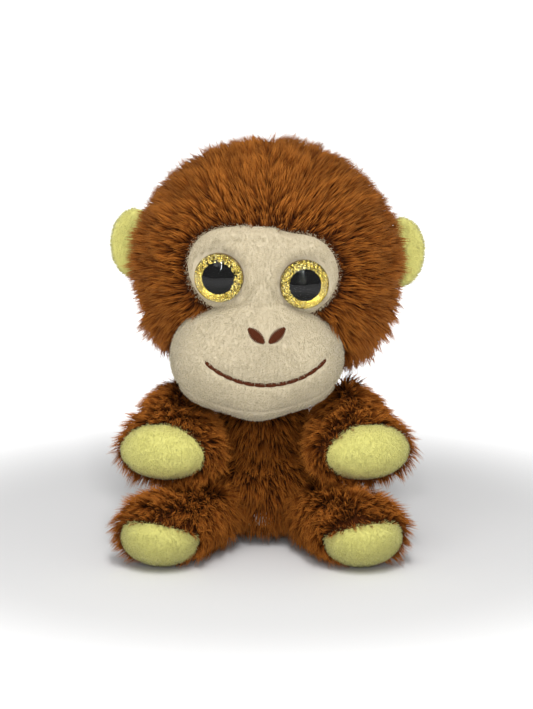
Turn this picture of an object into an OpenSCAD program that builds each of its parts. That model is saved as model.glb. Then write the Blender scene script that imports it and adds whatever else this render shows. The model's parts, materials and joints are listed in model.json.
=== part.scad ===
// Seated stuffed monkey: plush panels over fibre stuffing, with a bag of pellets in the seat.
// The toy faces -Y, +Z is up, and "left" and "right" are the toy's own sides (its left is +X).
// The origin is on the surface that the toy sits on, under the middle of the body.

/* [Fabric] */
// Thickness of the long brown plush, backing and pile together
plush_t = 4.5; // [3.5:0.1:5.5]
// Thickness of the short cream and yellow-green plush
velour_t = 2.5; // [1.5:0.1:3]
// Gap between the stuffing and the fabric around it
stuffing_gap = 0.2; // [0.1:0.05:0.4]
// Gap between pieces that move against each other
move_gap = 0.4; // [0.3:0.05:0.8]

/* [Torso] */
// Radius of the belly
belly_r = 28; // [23:0.5:34]
// Radius of the chest between the arms
chest_r = 17; // [14:0.5:20]
// Radius of the rounded edge around the seat
seat_round = 11; // [8:0.5:12]
// How far the middle of the torso lies behind the origin
torso_y = 6; // [0:0.5:10]

/* [Pellets] */
// Height of the pellet pouch
pouch_h = 13; // [9:0.5:16]
// Thickness of the pouch cloth
pouch_t = 0.6; // [0.4:0.1:1]
// Diameter of one pellet
pellet_d = 4; // [3:0.25:5]
// Gap between neighbouring pellets
pellet_gap = 0.5; // [0.3:0.1:1]

/* [Legs] */
// Height of a foot, from the floor to its top
foot_h = 25.4; // [20:0.2:31]
// Width of a foot
foot_w = 33; // [23:0.5:35]
// Distance from the hip to the middle of the foot
leg_len = 25; // [20:0.5:32]
// Radius of the leg at the hip seam
hip_r = 11.8; // [9:0.2:14.4]
// Distance from the belly's surface out to the middle of the hip
hip_out = 3.5; // [3:0.25:6]
// Direction of the hip around the torso, measured from straight ahead
hip_bearing = 40; // [34:1:50]
// Direction in which the right leg points, outward from straight ahead
right_leg_yaw = 36; // [28:1:45]
// Direction in which the left leg points, outward from straight ahead
left_leg_yaw = 33; // [28:1:45]
// How far the sole wraps the foot, from the tip towards the hip
sole_depth = 12.7; // [8:0.5:14]
// Direction in which both soles face, outward from straight ahead
sole_yaw = 4; // [0:1:20]
// Height of the sole's upper edge above the floor
sole_top = 17; // [12:0.5:20]

/* [Arms] */
// Height of a hand, from its underside to its top
hand_h = 24.6; // [20:0.2:30]
// Width of a hand
hand_w = 39; // [30:0.5:44]
// Length of a hand, from the wrist side to the tip
hand_d = 27; // [22:0.5:32]
// Distance from the shoulder to the middle of the hand
arm_len = 30; // [24:0.5:36]
// Radius of the arm at the shoulder seam
shoulder_r = 11.4; // [9:0.2:13]
// Distance from the chest's surface out to the middle of the shoulder
shoulder_out = 12; // [10:0.2:13.4]
// How far the shoulder lies ahead of the torso's middle
shoulder_ahead = 4; // [0:0.5:8]
// Height of the shoulder above the middle of the hand
shoulder_rise = 8; // [2:0.5:9]
// Gap between the top of the legs and the underside of the hands
lap_gap = 0.8; // [0.5:0.1:3]
// Direction in which the right arm points, outward from straight ahead
right_arm_yaw = 6; // [0:1:20]
// Direction in which the left arm points, outward from straight ahead
left_arm_yaw = 9; // [0:1:20]
// How far the palm wraps the hand, from the tip towards the shoulder
palm_depth = 8; // [6:0.5:12]
// Share of the hand's height that the palm reaches up to
palm_share = 0.88; // [0.6:0.02:0.95]

/* [Head] */
// Width of the head
head_w = 95; // [78:0.5:114]
// Depth of the head, front to back
head_d = 82; // [68:0.5:98]
// Height of the head
head_h = 86; // [72:0.5:103]
// Sideways tilt of the head, towards its left
head_roll = 2; // [-6:0.5:6]
// Radius of the packed neck
neck_r = 12; // [10:0.5:14]
// Height of the muzzle's underside above the hands
chin_gap = 2.4; // [2:0.1:6]
// Height of the neck's middle above the muzzle's underside
neck_rise = 3; // [1:0.5:6]

/* [Face] */
// Radius of each lobe of the face mask
mask_lobe_r = 15.4; // [12:0.2:18]
// Distance between the middles of the two lobes
mask_spread = 23.4; // [18:0.2:28]
// Height of the mask's middle above the neck's middle
mask_rise = 46; // [40:0.2:48]
// Sideways slope of the mask and the eyes, lower on the toy's left
face_slope = 4.5; // [0:0.5:8]
// How far the mask's cloth lies below the pile around it
mask_sink = 2; // [1:0.25:3]
// Width of the muzzle
muzzle_w = 61.5; // [50:0.5:72]
// Radius of the muzzle's cheeks, up and down
cheek_r = 18; // [15:0.5:21]
// How far the cheeks stand out from the head
muzzle_out = 16; // [12:0.5:19]
// How far the middle of the chin hangs below the cheeks
chin_drop = 3.8; // [0:0.2:4.4]
// Width of the chin
chin_w = 26; // [20:1:32]
// Height of the round of the chin
chin_h = 22; // [18:1:26]
// Radius of the rounded bridge under the nose, up and down
nose_r = 14.5; // [12:0.5:17]
// Width of the bridge
bridge_w = 42; // [34:0.5:50]
// Height of the bridge's middle above the cheeks' middle
nose_rise = 11.5; // [8:0.5:14]
// Sideways place of the muzzle's middle
muzzle_x = -2.1; // [-4:0.1:4]
// Sideways place of the nose and the mouth
mouth_x = 0.9; // [-3:0.1:3]
// Width of the smile
mouth_w = 41; // [34:0.5:48]
// How far the middle of the smile hangs below its ends
mouth_sag = 8; // [4:0.25:10]
// Thickness of the mouth's stitches
stitch_t = 1.4; // [0.8:0.1:1.5]
// Height of the chin's seam above the muzzle's underside, in the middle
chin_seam_h = 5.3; // [3:0.1:7]
// Radius of the arc in which the chin's seam rises to both sides
chin_seam_r = 50; // [40:1:80]
// Length of one nostril
nostril_l = 7; // [5:0.5:9]
// Width of one nostril
nostril_w = 3.2; // [2:0.1:4]
// Distance from the middle of the nose to the middle of a nostril
nostril_out = 3.5; // [2.4:0.1:5]
// How far the nostrils lean towards each other, in degrees from upright
nostril_lean = 50; // [20:1:60]

/* [Eyes] */
// Diameter of an eye
eye_d = 16.8; // [14:0.25:20]
// Diameter of the pupil
pupil_d = 9.8; // [8:0.2:12]
// Distance between the middles of the eyes
eye_spread = 28.8; // [24:0.2:33]
// How far the eyes sit below the middle of the mask
eye_drop = 2.1; // [0:0.1:3]
// Height of the clear dome
dome_h = 5; // [3.5:0.25:6]
// Thickness of the eye's back plate
plate_t = 1.4; // [1:0.1:2]
// Thickness of the glitter ring and of the pupil disc
iris_t = 0.6; // [0.4:0.1:1]
// Diameter of the eye's post
post_d = 4.8; // [4:0.2:6]
// Length of the eye's post behind the back plate
post_l = 13; // [10:0.5:16]
// Diameter of the locking washer
washer_d = 15; // [12:0.5:18]
// Thickness of the locking washer
washer_t = 1.6; // [1.2:0.1:2.4]
// Clearance between the washer and the post
washer_gap = 0.05; // [0.02:0.01:0.1]
// How far each eye faces outward
eye_yaw = 9; // [0:1:16]

/* [Ears] */
// Height of an ear
ear_h = 26; // [20:0.5:32]
// How far an ear stands out from the head
ear_out = 9; // [7:0.5:12]
// Thickness of an ear, front and back panel together
ear_t = 7; // [5:0.25:9]
// How far the ear's root lies behind the head's middle
ear_y = 6; // [2:0.5:12]
// Height of the ear's middle above the head's middle
ear_rise = 4; // [0:0.5:8]
// Half of the angle through which an ear folds
ear_fold = 25; // [10:1:30]

/* [Hidden] */

LEFT = 1;
RIGHT = -1;
BROWN = [0.55, 0.33, 0.18];
CREAM = [0.87, 0.80, 0.68];
GREEN = [0.85, 0.84, 0.42];
FIBRE = [0.96, 0.96, 0.94];
THREAD = [0.27, 0.15, 0.08];

// facets of the soft solids, finer on the head than on the limbs
HEAD_FN = 36;
LIMB_FN = 24;
MUZZLE_FN = 28;
ROUND_FN = 48;
SEAT_FN = 72;
BIG = 200;

// how far forward the neck lies from the torso's middle, and the head from the neck
NECK_AHEAD = 2;
HEAD_AHEAD = 2;
// gap between the middle of the neck and the underside of the head
HEAD_LIFT = 0.8;
// how far the side seams lie behind the head's middle
SEAM_BACK = 8;

// heights stack up from the floor: legs, hands, chin, neck, head
leg_z = foot_h / 2;
hand_z = foot_h + lap_gap + hand_h / 2;
shoulder_z = hand_z + shoulder_rise;
chin_z = hand_z + hand_h / 2 + chin_gap;
neck_z = chin_z + neck_rise;
head_z = neck_z + head_h / 2 + HEAD_LIFT;
torso_top = neck_z - 1;
shoulder_x = chest_r + shoulder_out;
shoulder_y = torso_y - shoulder_ahead;
hip_x = (belly_r + hip_out) * sin(hip_bearing);
hip_y = torso_y - (belly_r + hip_out) * cos(hip_bearing);
neck_y = torso_y - NECK_AHEAD;
head_y = neck_y - HEAD_AHEAD;
muzzle_z = chin_z + cheek_r;
mask_z = neck_z + mask_rise;

// y of the head's front surface at a place across and a height, on the outer pile
function head_front_y(x, z, inset = 0) =
  head_y - (head_d / 2 - inset) * sqrt(1 - pow(x / (head_w / 2 - inset), 2)
                                        - pow((z - head_z) / (head_h / 2 - inset), 2));

// ---- torso -------------------------------------------------------------------------------

// the belly starts to narrow part of the way up the feet, and the chest is reached part of
// the way up the hands
BELLY_SHARE = 0.6;
CHEST_SHARE = 0.42;
belly_z = foot_h * BELLY_SHARE;
chest_z = foot_h + hand_h * CHEST_SHARE;
top_round = 7;
TORSO_STEPS = 18;

// radius of the torso at a height
function torso_radius(z) =
  z < seat_round ? belly_r - seat_round + sqrt(max(0, pow(seat_round, 2) - pow(seat_round - z, 2))) :
  z < belly_z ? belly_r :
  z < chest_z ? chest_r + (belly_r - chest_r) * (1 + cos(180 * (z - belly_z) / (chest_z - belly_z))) / 2 :
  z < torso_top - top_round ? chest_r :
  chest_r - top_round + sqrt(max(0, pow(top_round, 2) - pow(z - torso_top + top_round, 2)));

module torso_form(inset = 0) {
  h = torso_top - 2 * inset;
  translate([0, torso_y, inset])
    rotate_extrude($fn = ROUND_FN)
      polygon(concat(
        [[0, 0]],
        [for (i = [0:TORSO_STEPS]) [torso_radius(torso_top * i / TORSO_STEPS) - inset, h * i / TORSO_STEPS]],
        [[0, h]]));
}

// hollows in which the neck, the shoulders and the hips turn
module torso_sockets(extra) {
  translate([0, neck_y, neck_z]) sphere(r = neck_r + extra, $fn = ROUND_FN);
  for (side = [LEFT, RIGHT]) {
    translate([side * shoulder_x, shoulder_y, shoulder_z]) sphere(r = shoulder_r + extra, $fn = ROUND_FN);
    translate([side * hip_x, hip_y, leg_z]) sphere(r = hip_r + extra, $fn = ROUND_FN);
  }
}

module torso_inside(extra) {
  difference() {
    torso_form(plush_t + extra);
    torso_sockets(move_gap + plush_t + extra);
  }
}

module torso_skin() {
  difference() {
    torso_form();
    torso_sockets(move_gap);
    torso_inside(0);
  }
}

module front_half() {
  translate([-BIG / 2, torso_y - BIG, -BIG / 4]) cube([BIG, BIG, BIG]);
}

module torso_front_panel() {
  color(BROWN) intersection() {
    torso_skin();
    front_half();
  }
}

module torso_back_panel() {
  color(BROWN) difference() {
    torso_skin();
    front_half();
  }
}

// the pouch lies on the inside of the seat, and the stuffing fills the rest
pouch_z = plush_t + stuffing_gap;
HIP_OVERLAP = 1;
pouch_r = belly_r - plush_t - hip_r + hip_out + HIP_OVERLAP;
pouch_back = 2;
function pouch_fits() = min(pouch_r, torso_radius(pouch_z) - plush_t - 2 * stuffing_gap - pouch_back);

// a round bag whose bottom follows the rounded seat
module pouch_form(inset = 0) {
  intersection() {
    translate([0, torso_y + pouch_back, pouch_z + inset])
      cylinder(r = pouch_fits() - inset, h = pouch_h - 2 * inset, $fn = ROUND_FN);
    torso_form(plush_t + 2 * stuffing_gap + inset);
  }
}

module torso_stuffing() {
  color(FIBRE) difference() {
    torso_inside(stuffing_gap);
    translate([0, 0, -BIG]) pouch_clearance();
  }
}

// the space that the pouch takes, open downwards
module pouch_clearance() {
  translate([0, torso_y + pouch_back, 0])
    cylinder(r = pouch_fits() + stuffing_gap, h = BIG + pouch_z + pouch_h + stuffing_gap, $fn = ROUND_FN);
}

module pellet_pouch() {
  color([0.92, 0.92, 0.90]) difference() {
    pouch_form();
    pouch_form(pouch_t);
  }
}

pellet_pitch = pellet_d + pellet_gap;
PELLET_EDGE_GAPS = 5;
PELLET_ROW_PITCH = 0.9;
pellet_room = pouch_fits() - pouch_t - pellet_d / 2 - PELLET_EDGE_GAPS * pellet_gap;
pellet_layers = floor((pouch_h - 2 * pouch_t - pellet_gap) / pellet_pitch);
pellet_z = pouch_z + pouch_t + pellet_gap + pellet_d / 2;
pellet_reach = ceil(pellet_room / pellet_pitch) + 1;

module pellets() {
  color([0.93, 0.93, 0.90])
    for (layer = [0:pellet_layers - 1])
      for (i = [-pellet_reach:pellet_reach], j = [-pellet_reach:pellet_reach]) {
        x = (i + ((j % 2 == 0) ? 0 : 0.5)) * pellet_pitch;
        y = j * pellet_pitch * PELLET_ROW_PITCH;
        if (norm([x, y]) < pellet_room)
          translate([x, torso_y + pouch_back + y, pellet_z + layer * pellet_pitch])
            sphere(d = pellet_d, $fn = 16);
      }
}

// ---- neck --------------------------------------------------------------------------------

module neck_gather() {
  color(BROWN) translate([0, neck_y, neck_z]) sphere(r = neck_r, $fn = ROUND_FN);
}

// ---- head --------------------------------------------------------------------------------

// turns the head's own shape sideways about the neck
module head_tilt() {
  translate([0, neck_y, neck_z]) rotate([0, head_roll, 0]) translate([0, -neck_y, -neck_z]) children();
}

module head_form(inset = 0, fn = HEAD_FN) {
  head_tilt() translate([0, head_y, head_z])
    scale([head_w / 2 - inset, head_d / 2 - inset, head_h / 2 - inset]) sphere(r = 1, $fn = fn);
}

module head_inside(extra) {
  difference() {
    head_form(plush_t + extra);
    translate([0, neck_y, neck_z]) sphere(r = neck_r + move_gap + plush_t + extra, $fn = HEAD_FN);
  }
}

module head_skin() {
  difference() {
    head_form();
    translate([0, neck_y, neck_z]) sphere(r = neck_r + move_gap, $fn = HEAD_FN);
    head_inside(0);
    mask_prism(0);
    eye_spaces();
  }
}

// everything behind the side seam, and everything on the toy's left of the centre seam
module behind_seam() {
  head_tilt() translate([-BIG / 2, head_y + SEAM_BACK, head_z - BIG / 2]) cube([BIG, BIG, BIG]);
}

module left_of_seam() {
  head_tilt() translate([0, head_y - BIG / 2, head_z - BIG / 2]) cube([BIG, BIG, BIG]);
}

module head_left_panel() {
  color(BROWN) intersection() {
    difference() {
      head_skin();
      behind_seam();
    }
    left_of_seam();
  }
}

module head_right_panel() {
  color(BROWN) difference() {
    head_skin();
    behind_seam();
    left_of_seam();
  }
}

module head_back_panel() {
  color(BROWN) intersection() {
    head_skin();
    behind_seam();
  }
}

module head_stuffing() {
  color(FIBRE) difference() {
    head_inside(stuffing_gap);
    eye_spaces();
  }
}

// ---- face --------------------------------------------------------------------------------

// the mask's outline, two round lobes joined, as a bar that runs through the front of the head
module mask_prism(shrink) {
  translate([0, head_y, mask_z]) rotate([90, 0, 0]) linear_extrude(height = BIG / 2)
    rotate(-face_slope) hull()
      for (side = [LEFT, RIGHT])
        translate([side * mask_spread / 2, 0]) circle(r = mask_lobe_r - shrink, $fn = LIMB_FN);
}

module face_mask() {
  color(CREAM) difference() {
    intersection() {
      difference() {
        head_form(mask_sink);
        head_inside(0);
      }
      mask_prism(0);
    }
    eye_spaces();
    muzzle_form(0.01);
  }
}

// two cheeks, the chin and the bridge of the nose, grown or shrunk by "grow"
CHEEK_SLIM = 0.9;
MUZZLE_SUNK = 2;
CHIN_BACK = 4;
BRIDGE_AHEAD = 1;
BRIDGE_SIDE = 1.5;
BRIDGE_FLAT = 0.5;
MUZZLE_SEAT = 0.1;
cheek_x = muzzle_w / 2 - cheek_r * CHEEK_SLIM;
muzzle_y = head_front_y(0, muzzle_z) + MUZZLE_SUNK;

module muzzle_form(grow = 0) {
  hull() {
    for (side = [LEFT, RIGHT])
      translate([muzzle_x + side * cheek_x, muzzle_y, muzzle_z])
        scale([cheek_r * CHEEK_SLIM + grow, muzzle_out + MUZZLE_SUNK + grow, cheek_r + grow])
          sphere(r = 1, $fn = MUZZLE_FN);
    translate([muzzle_x, muzzle_y - CHIN_BACK, muzzle_z - cheek_r - chin_drop + chin_h / 2])
      scale([chin_w / 2 + grow, chin_w / 2 + grow, chin_h / 2 + grow]) sphere(r = 1, $fn = MUZZLE_FN);
    translate([muzzle_x + BRIDGE_SIDE, muzzle_y - BRIDGE_AHEAD, muzzle_z + nose_rise])
      scale([bridge_w / 2 + grow, muzzle_out - BRIDGE_FLAT + grow, nose_r + grow])
        sphere(r = 1, $fn = MUZZLE_FN);
  }
}

module muzzle_skin() {
  difference() {
    muzzle_form();
    muzzle_form(-velour_t);
    head_form(-MUZZLE_SEAT, SEAT_FN);
    stitch_outlines();
    eye_spaces();
  }
}

// everything above the chin's seam, which is an arc
module above_chin_seam() {
  translate([muzzle_x, muzzle_y + BIG / 4, muzzle_z - cheek_r - chin_drop + chin_seam_h + chin_seam_r])
    rotate([90, 0, 0]) cylinder(r = chin_seam_r, h = BIG / 2, $fn = SEAT_FN);
}

module muzzle_upper() {
  color(CREAM) intersection() {
    muzzle_skin();
    above_chin_seam();
  }
}

module muzzle_chin() {
  color(CREAM) difference() {
    muzzle_skin();
    above_chin_seam();
  }
}

module muzzle_stuffing() {
  color(FIBRE) difference() {
    muzzle_form(-velour_t - stuffing_gap);
    head_form(-stuffing_gap);
    eye_spaces();
  }
}

// the smile is an arc through its two ends and its lowest point, sewn in backstitches
mouth_r = (pow(mouth_w / 2, 2) + pow(mouth_sag, 2)) / (2 * mouth_sag);
MOUTH_RISE = 1.8;
NOSTRIL_RISE = 11.3;
NOSTRIL_SIDE = 0.4;
SATIN_GAP = 0.05;
STITCH_PROUD = 0.4;
STITCH_SUNK = 0.8;
STITCHES = 12;
mouth_end_z = muzzle_z + MOUTH_RISE;
nose_z = muzzle_z + NOSTRIL_RISE;

function smile_point(share) =
  let (turn = asin(mouth_w / 2 / mouth_r) * (2 * share - 1))
  [mouth_x + mouth_r * sin(turn), mouth_end_z - mouth_sag + mouth_r * (1 - cos(turn))];

module smile_outline() {
  for (i = [0:STITCHES - 1]) hull()
    for (end = [i, i + 1])
      translate(smile_point(end / STITCHES)) circle(d = stitch_t, $fn = 16);
}

// two leaf shapes that lean towards each other at the bottom
module nostril_outlines() {
  leaf_r = (pow(nostril_l / 2, 2) + pow(nostril_w / 2, 2)) / nostril_w;
  for (side = [LEFT, RIGHT])
    translate([mouth_x + NOSTRIL_SIDE + side * nostril_out, nose_z]) rotate(-side * nostril_lean)
      intersection_for (lean = [-1, 1])
        translate([lean * (leaf_r - nostril_w / 2), 0]) circle(r = leaf_r, $fn = SEAT_FN);
}

module stitch_outlines() {
  stitch_bar() smile_outline();
  stitch_bar() offset(r = SATIN_GAP) nostril_outlines();
}

module stitch_bar() {
  translate([0, muzzle_y, 0]) rotate([90, 0, 0]) linear_extrude(height = BIG / 2) children();
}

// a layer of thread on the muzzle, sunk into the cloth and standing a little proud of it
module stitched() {
  intersection() {
    difference() {
      muzzle_form(STITCH_PROUD);
      muzzle_form(-STITCH_SUNK);
    }
    stitch_bar() children();
  }
}

module mouth_stitches() {
  color(THREAD) stitched() smile_outline();
}

module nostril_stitches() {
  color(THREAD) stitched() nostril_outlines();
}

// ---- eyes --------------------------------------------------------------------------------

EYE_SIDE = 0.4;
EYE_SUNK = 0.6;
EYE_GAP = 0.4;
EYE_ROOM = 12;
WASHER_ROOM = 0.6;
function eye_x(side) = side * eye_spread / 2 * cos(face_slope) - EYE_SIDE;
function eye_z(side) = mask_z - eye_drop - side * eye_spread / 2 * sin(face_slope);
function eye_y(side) = head_front_y(eye_x(side), eye_z(side), mask_sink);

// an eye's own frame: +Z points out of the face, and z = 0 is the back of its plate
module at_eye(side) {
  translate([eye_x(side), eye_y(side) - EYE_SUNK, eye_z(side)])
    rotate([90, 0, 0]) rotate([0, side * eye_yaw, 0]) children();
}

// what an eye takes out of the cloth and the stuffing around it
module eye_space(side) {
  at_eye(side) {
    cylinder(d = eye_d + EYE_GAP, h = EYE_ROOM, $fn = ROUND_FN);
    translate([0, 0, -post_l - EYE_GAP]) cylinder(d = post_d + EYE_GAP, h = post_l + 1, $fn = ROUND_FN);
    translate([0, 0, -washer_back]) cylinder(d = washer_d + EYE_GAP, h = washer_t + EYE_GAP, $fn = ROUND_FN);
  }
}

module eye_spaces() {
  eye_space(LEFT);
  eye_space(RIGHT);
}

washer_back = plush_t + washer_t + WASHER_ROOM;
dome_ball_r = (pow(eye_d / 2, 2) + pow(dome_h, 2)) / (2 * dome_h);

module eye_dome(side) {
  color([0.95, 0.95, 0.95, 0.35]) at_eye(side) intersection() {
    translate([0, 0, plate_t + iris_t + dome_h - dome_ball_r]) sphere(r = dome_ball_r, $fn = ROUND_FN);
    translate([0, 0, plate_t + iris_t]) cylinder(d = eye_d, h = dome_h + 1, $fn = ROUND_FN);
  }
}

module eye_iris(side) {
  color([0.80, 0.65, 0.22]) at_eye(side) translate([0, 0, plate_t]) difference() {
    cylinder(d = eye_d - EYE_GAP, h = iris_t, $fn = ROUND_FN);
    translate([0, 0, -1]) cylinder(d = pupil_d, h = iris_t + 2, $fn = ROUND_FN);
  }
}

module eye_pupil(side) {
  color([0.03, 0.03, 0.03]) at_eye(side) translate([0, 0, plate_t])
    cylinder(d = pupil_d, h = iris_t, $fn = ROUND_FN);
}

module eye_post(side) {
  color([0.12, 0.10, 0.08]) at_eye(side) {
    cylinder(d = eye_d, h = plate_t, $fn = ROUND_FN);
    translate([0, 0, -post_l]) cylinder(d = post_d, h = post_l + plate_t / 2, $fn = ROUND_FN);
  }
}

module eye_washer(side) {
  color([0.90, 0.90, 0.88]) at_eye(side) translate([0, 0, EYE_GAP / 2 - washer_back]) difference() {
    cylinder(d = washer_d, h = washer_t, $fn = ROUND_FN);
    translate([0, 0, -1]) cylinder(d = post_d + 2 * washer_gap, h = washer_t + 2, $fn = ROUND_FN);
  }
}

// ---- ears --------------------------------------------------------------------------------

ear_root_share = sqrt(1 - pow(ear_y / (head_d / 2), 2) - pow(ear_rise / (head_h / 2), 2));
ear_root_x = head_w / 2 * ear_root_share + move_gap;

// an ear's own frame: the origin is on its fold line, and +X points out of the head
module at_ear(side) {
  head_tilt() translate([side * ear_root_x, head_y + ear_y, head_z + ear_rise])
    mirror([side < 0 ? 1 : 0, 0, 0]) children();
}

// the room behind the fold line that the ear leaves free so that it can fold both ways
module fold_relief() {
  for (lean = [-1, 1])
    rotate([0, 0, lean * ear_fold]) translate([-BIG, -BIG / 2, -BIG / 2]) cube([BIG, BIG, BIG]);
}

module ear_panel(side, facing) {
  color(GREEN) at_ear(side) difference() {
    scale([ear_out, ear_t / 2, ear_h / 2]) sphere(r = 1, $fn = LIMB_FN);
    fold_relief();
    translate([-BIG / 2, facing > 0 ? -BIG : 0, -BIG / 2]) cube([BIG, BIG, BIG]);
  }
}

// ---- limbs -------------------------------------------------------------------------------

// an arm's own frame: the origin is at the shoulder, and the arm runs along -Y
module at_arm(side) {
  translate([side * shoulder_x, shoulder_y, shoulder_z])
    rotate([0, 0, side < 0 ? -right_arm_yaw : left_arm_yaw]) mirror([side < 0 ? 1 : 0, 0, 0]) children();
}

module arm_form(inset = 0) {
  hull() {
    sphere(r = shoulder_r - inset, $fn = LIMB_FN);
    translate([0, -arm_len, hand_z - shoulder_z])
      scale([hand_w / 2 - inset, hand_d / 2 - inset, hand_h / 2 - inset]) sphere(r = 1, $fn = LIMB_FN);
  }
}

// share of the hand's width that the palm reaches towards the body
PALM_INNER = 0.34;

// the part of the hand that the palm covers: its tip, up to an edge below its top
module palm_zone() {
  translate([-hand_w * PALM_INNER, -arm_len - hand_d / 2 - 1, hand_z - shoulder_z - hand_h])
    cube([hand_w, palm_depth + 1, hand_h * (0.5 + palm_share)]);
}

module arm_sleeve(side) {
  color(BROWN) at_arm(side) difference() {
    arm_form();
    arm_form(plush_t);
    palm_zone();
  }
}

module arm_palm(side) {
  color(GREEN) at_arm(side) intersection() {
    difference() {
      arm_form(plush_t - velour_t);
      arm_form(plush_t);
    }
    palm_zone();
  }
}

module arm_stuffing(side) {
  color(FIBRE) at_arm(side) arm_form(plush_t + stuffing_gap);
}

// a leg's own frame: the origin is at the hip, and the leg runs along -Y
module at_leg(side) {
  translate([side * hip_x, hip_y, leg_z])
    rotate([0, 0, side < 0 ? -right_leg_yaw : left_leg_yaw]) mirror([side < 0 ? 1 : 0, 0, 0]) children();
}

module leg_form(inset = 0) {
  hull() {
    sphere(r = hip_r - inset, $fn = LIMB_FN);
    translate([0, -leg_len, 0])
      scale([foot_w / 2 - inset, foot_w / 2 - inset, foot_h / 2 - inset]) sphere(r = 1, $fn = LIMB_FN);
  }
}

// the part of the foot that the sole covers: its front, below an edge
module sole_zone(side) {
  translate([0, -leg_len, 0]) rotate([0, 0, sole_yaw - (side < 0 ? right_leg_yaw : left_leg_yaw)])
    translate([-foot_w, -foot_w / 2 - 1, -leg_z - 1]) cube([2 * foot_w, sole_depth + 1, sole_top + 1]);
}

module leg_sleeve(side) {
  color(BROWN) at_leg(side) difference() {
    leg_form();
    leg_form(plush_t);
    sole_zone(side);
  }
}

module leg_sole(side) {
  color(GREEN) at_leg(side) intersection() {
    difference() {
      leg_form(plush_t - velour_t);
      leg_form(plush_t);
    }
    sole_zone(side);
  }
}

module leg_stuffing(side) {
  color(FIBRE) at_leg(side) leg_form(plush_t + stuffing_gap);
}

// ---- nodes -------------------------------------------------------------------------------

torso_front_panel();
torso_back_panel();
torso_stuffing();
pellet_pouch();
pellets();
neck_gather();
head_left_panel();
head_right_panel();
head_back_panel();
head_stuffing();
face_mask();
muzzle_upper();
muzzle_chin();
muzzle_stuffing();
nostril_stitches();
mouth_stitches();
eye_dome(LEFT);  // left_eye_dome
eye_iris(LEFT);  // left_eye_iris
eye_pupil(LEFT);  // left_eye_pupil
eye_post(LEFT);  // left_eye_post
eye_washer(LEFT);  // left_eye_washer
eye_dome(RIGHT);  // right_eye_dome
eye_iris(RIGHT);  // right_eye_iris
eye_pupil(RIGHT);  // right_eye_pupil
eye_post(RIGHT);  // right_eye_post
eye_washer(RIGHT);  // right_eye_washer
ear_panel(LEFT, -1);  // left_ear_front
ear_panel(LEFT, 1);  // left_ear_back
ear_panel(RIGHT, -1);  // right_ear_front
ear_panel(RIGHT, 1);  // right_ear_back
arm_sleeve(LEFT);  // left_arm_sleeve
arm_palm(LEFT);  // left_arm_palm
arm_stuffing(LEFT);  // left_arm_stuffing
arm_sleeve(RIGHT);  // right_arm_sleeve
arm_palm(RIGHT);  // right_arm_palm
arm_stuffing(RIGHT);  // right_arm_stuffing
leg_sleeve(LEFT);  // left_leg_sleeve
leg_sole(LEFT);  // left_leg_sole
leg_stuffing(LEFT);  // left_leg_stuffing
leg_sleeve(RIGHT);  // right_leg_sleeve
leg_sole(RIGHT);  // right_leg_sole
leg_stuffing(RIGHT);  // right_leg_stuffing
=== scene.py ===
# %% [markdown]
# # A seated stuffed monkey
# The toy is sewn from long brown plush and short cream and yellow-green velour, stuffed with
# fibre, and has two glitter eyes. The measured model is loaded first and never changes: it
# says where each piece sits. What is made here is what a toy maker would sew: padded skins,
# a pile of small tufts on them, embroidery, and eyes with real glitter under a clear dome.

# %% Load the measured model
import json
import math
import random

import bpy
import numpy as np
from mathutils import Matrix, Vector
from mathutils.bvhtree import BVHTree

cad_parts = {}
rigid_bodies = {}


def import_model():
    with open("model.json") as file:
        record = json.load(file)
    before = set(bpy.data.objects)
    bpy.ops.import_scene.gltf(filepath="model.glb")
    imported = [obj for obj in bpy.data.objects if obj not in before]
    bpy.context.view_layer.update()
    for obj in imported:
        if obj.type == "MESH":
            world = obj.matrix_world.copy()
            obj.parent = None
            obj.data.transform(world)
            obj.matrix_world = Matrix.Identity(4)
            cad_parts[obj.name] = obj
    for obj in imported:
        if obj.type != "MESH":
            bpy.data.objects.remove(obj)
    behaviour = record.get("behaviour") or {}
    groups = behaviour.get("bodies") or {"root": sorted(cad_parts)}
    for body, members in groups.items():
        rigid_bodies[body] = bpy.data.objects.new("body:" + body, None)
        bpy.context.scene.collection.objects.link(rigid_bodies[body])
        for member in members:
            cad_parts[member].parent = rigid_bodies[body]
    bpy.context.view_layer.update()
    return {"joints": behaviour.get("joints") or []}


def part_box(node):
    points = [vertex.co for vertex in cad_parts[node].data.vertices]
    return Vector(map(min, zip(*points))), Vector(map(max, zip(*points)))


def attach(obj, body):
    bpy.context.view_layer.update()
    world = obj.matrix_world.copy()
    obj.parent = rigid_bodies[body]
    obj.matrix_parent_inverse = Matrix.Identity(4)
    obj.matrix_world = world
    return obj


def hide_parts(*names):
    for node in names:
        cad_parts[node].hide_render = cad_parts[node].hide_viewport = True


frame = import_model()
MM = 0.001
SIDES = {"left": 1, "right": -1}

# %% [markdown]
# ## Where things are
# Every size below is read from the model's boxes and joints, so the sewn pieces follow the
# measured ones. The head is nearly an egg. Its front is cut open for the mask, so its middle
# is worked out from its sides, its back, its top and the neck joint under it.

# %% Places
joints = {joint["name"]: joint for joint in frame["joints"]}


def box_of(*nodes):
    """Lowest and highest corner of several nodes together."""
    corners = [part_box(node) for node in nodes]
    low = Vector([min(c[0][i] for c in corners) for i in range(3)])
    high = Vector([max(c[1][i] for c in corners) for i in range(3)])
    return low, high


def middle(node):
    low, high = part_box(node)
    return (low + high) / 2


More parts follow.
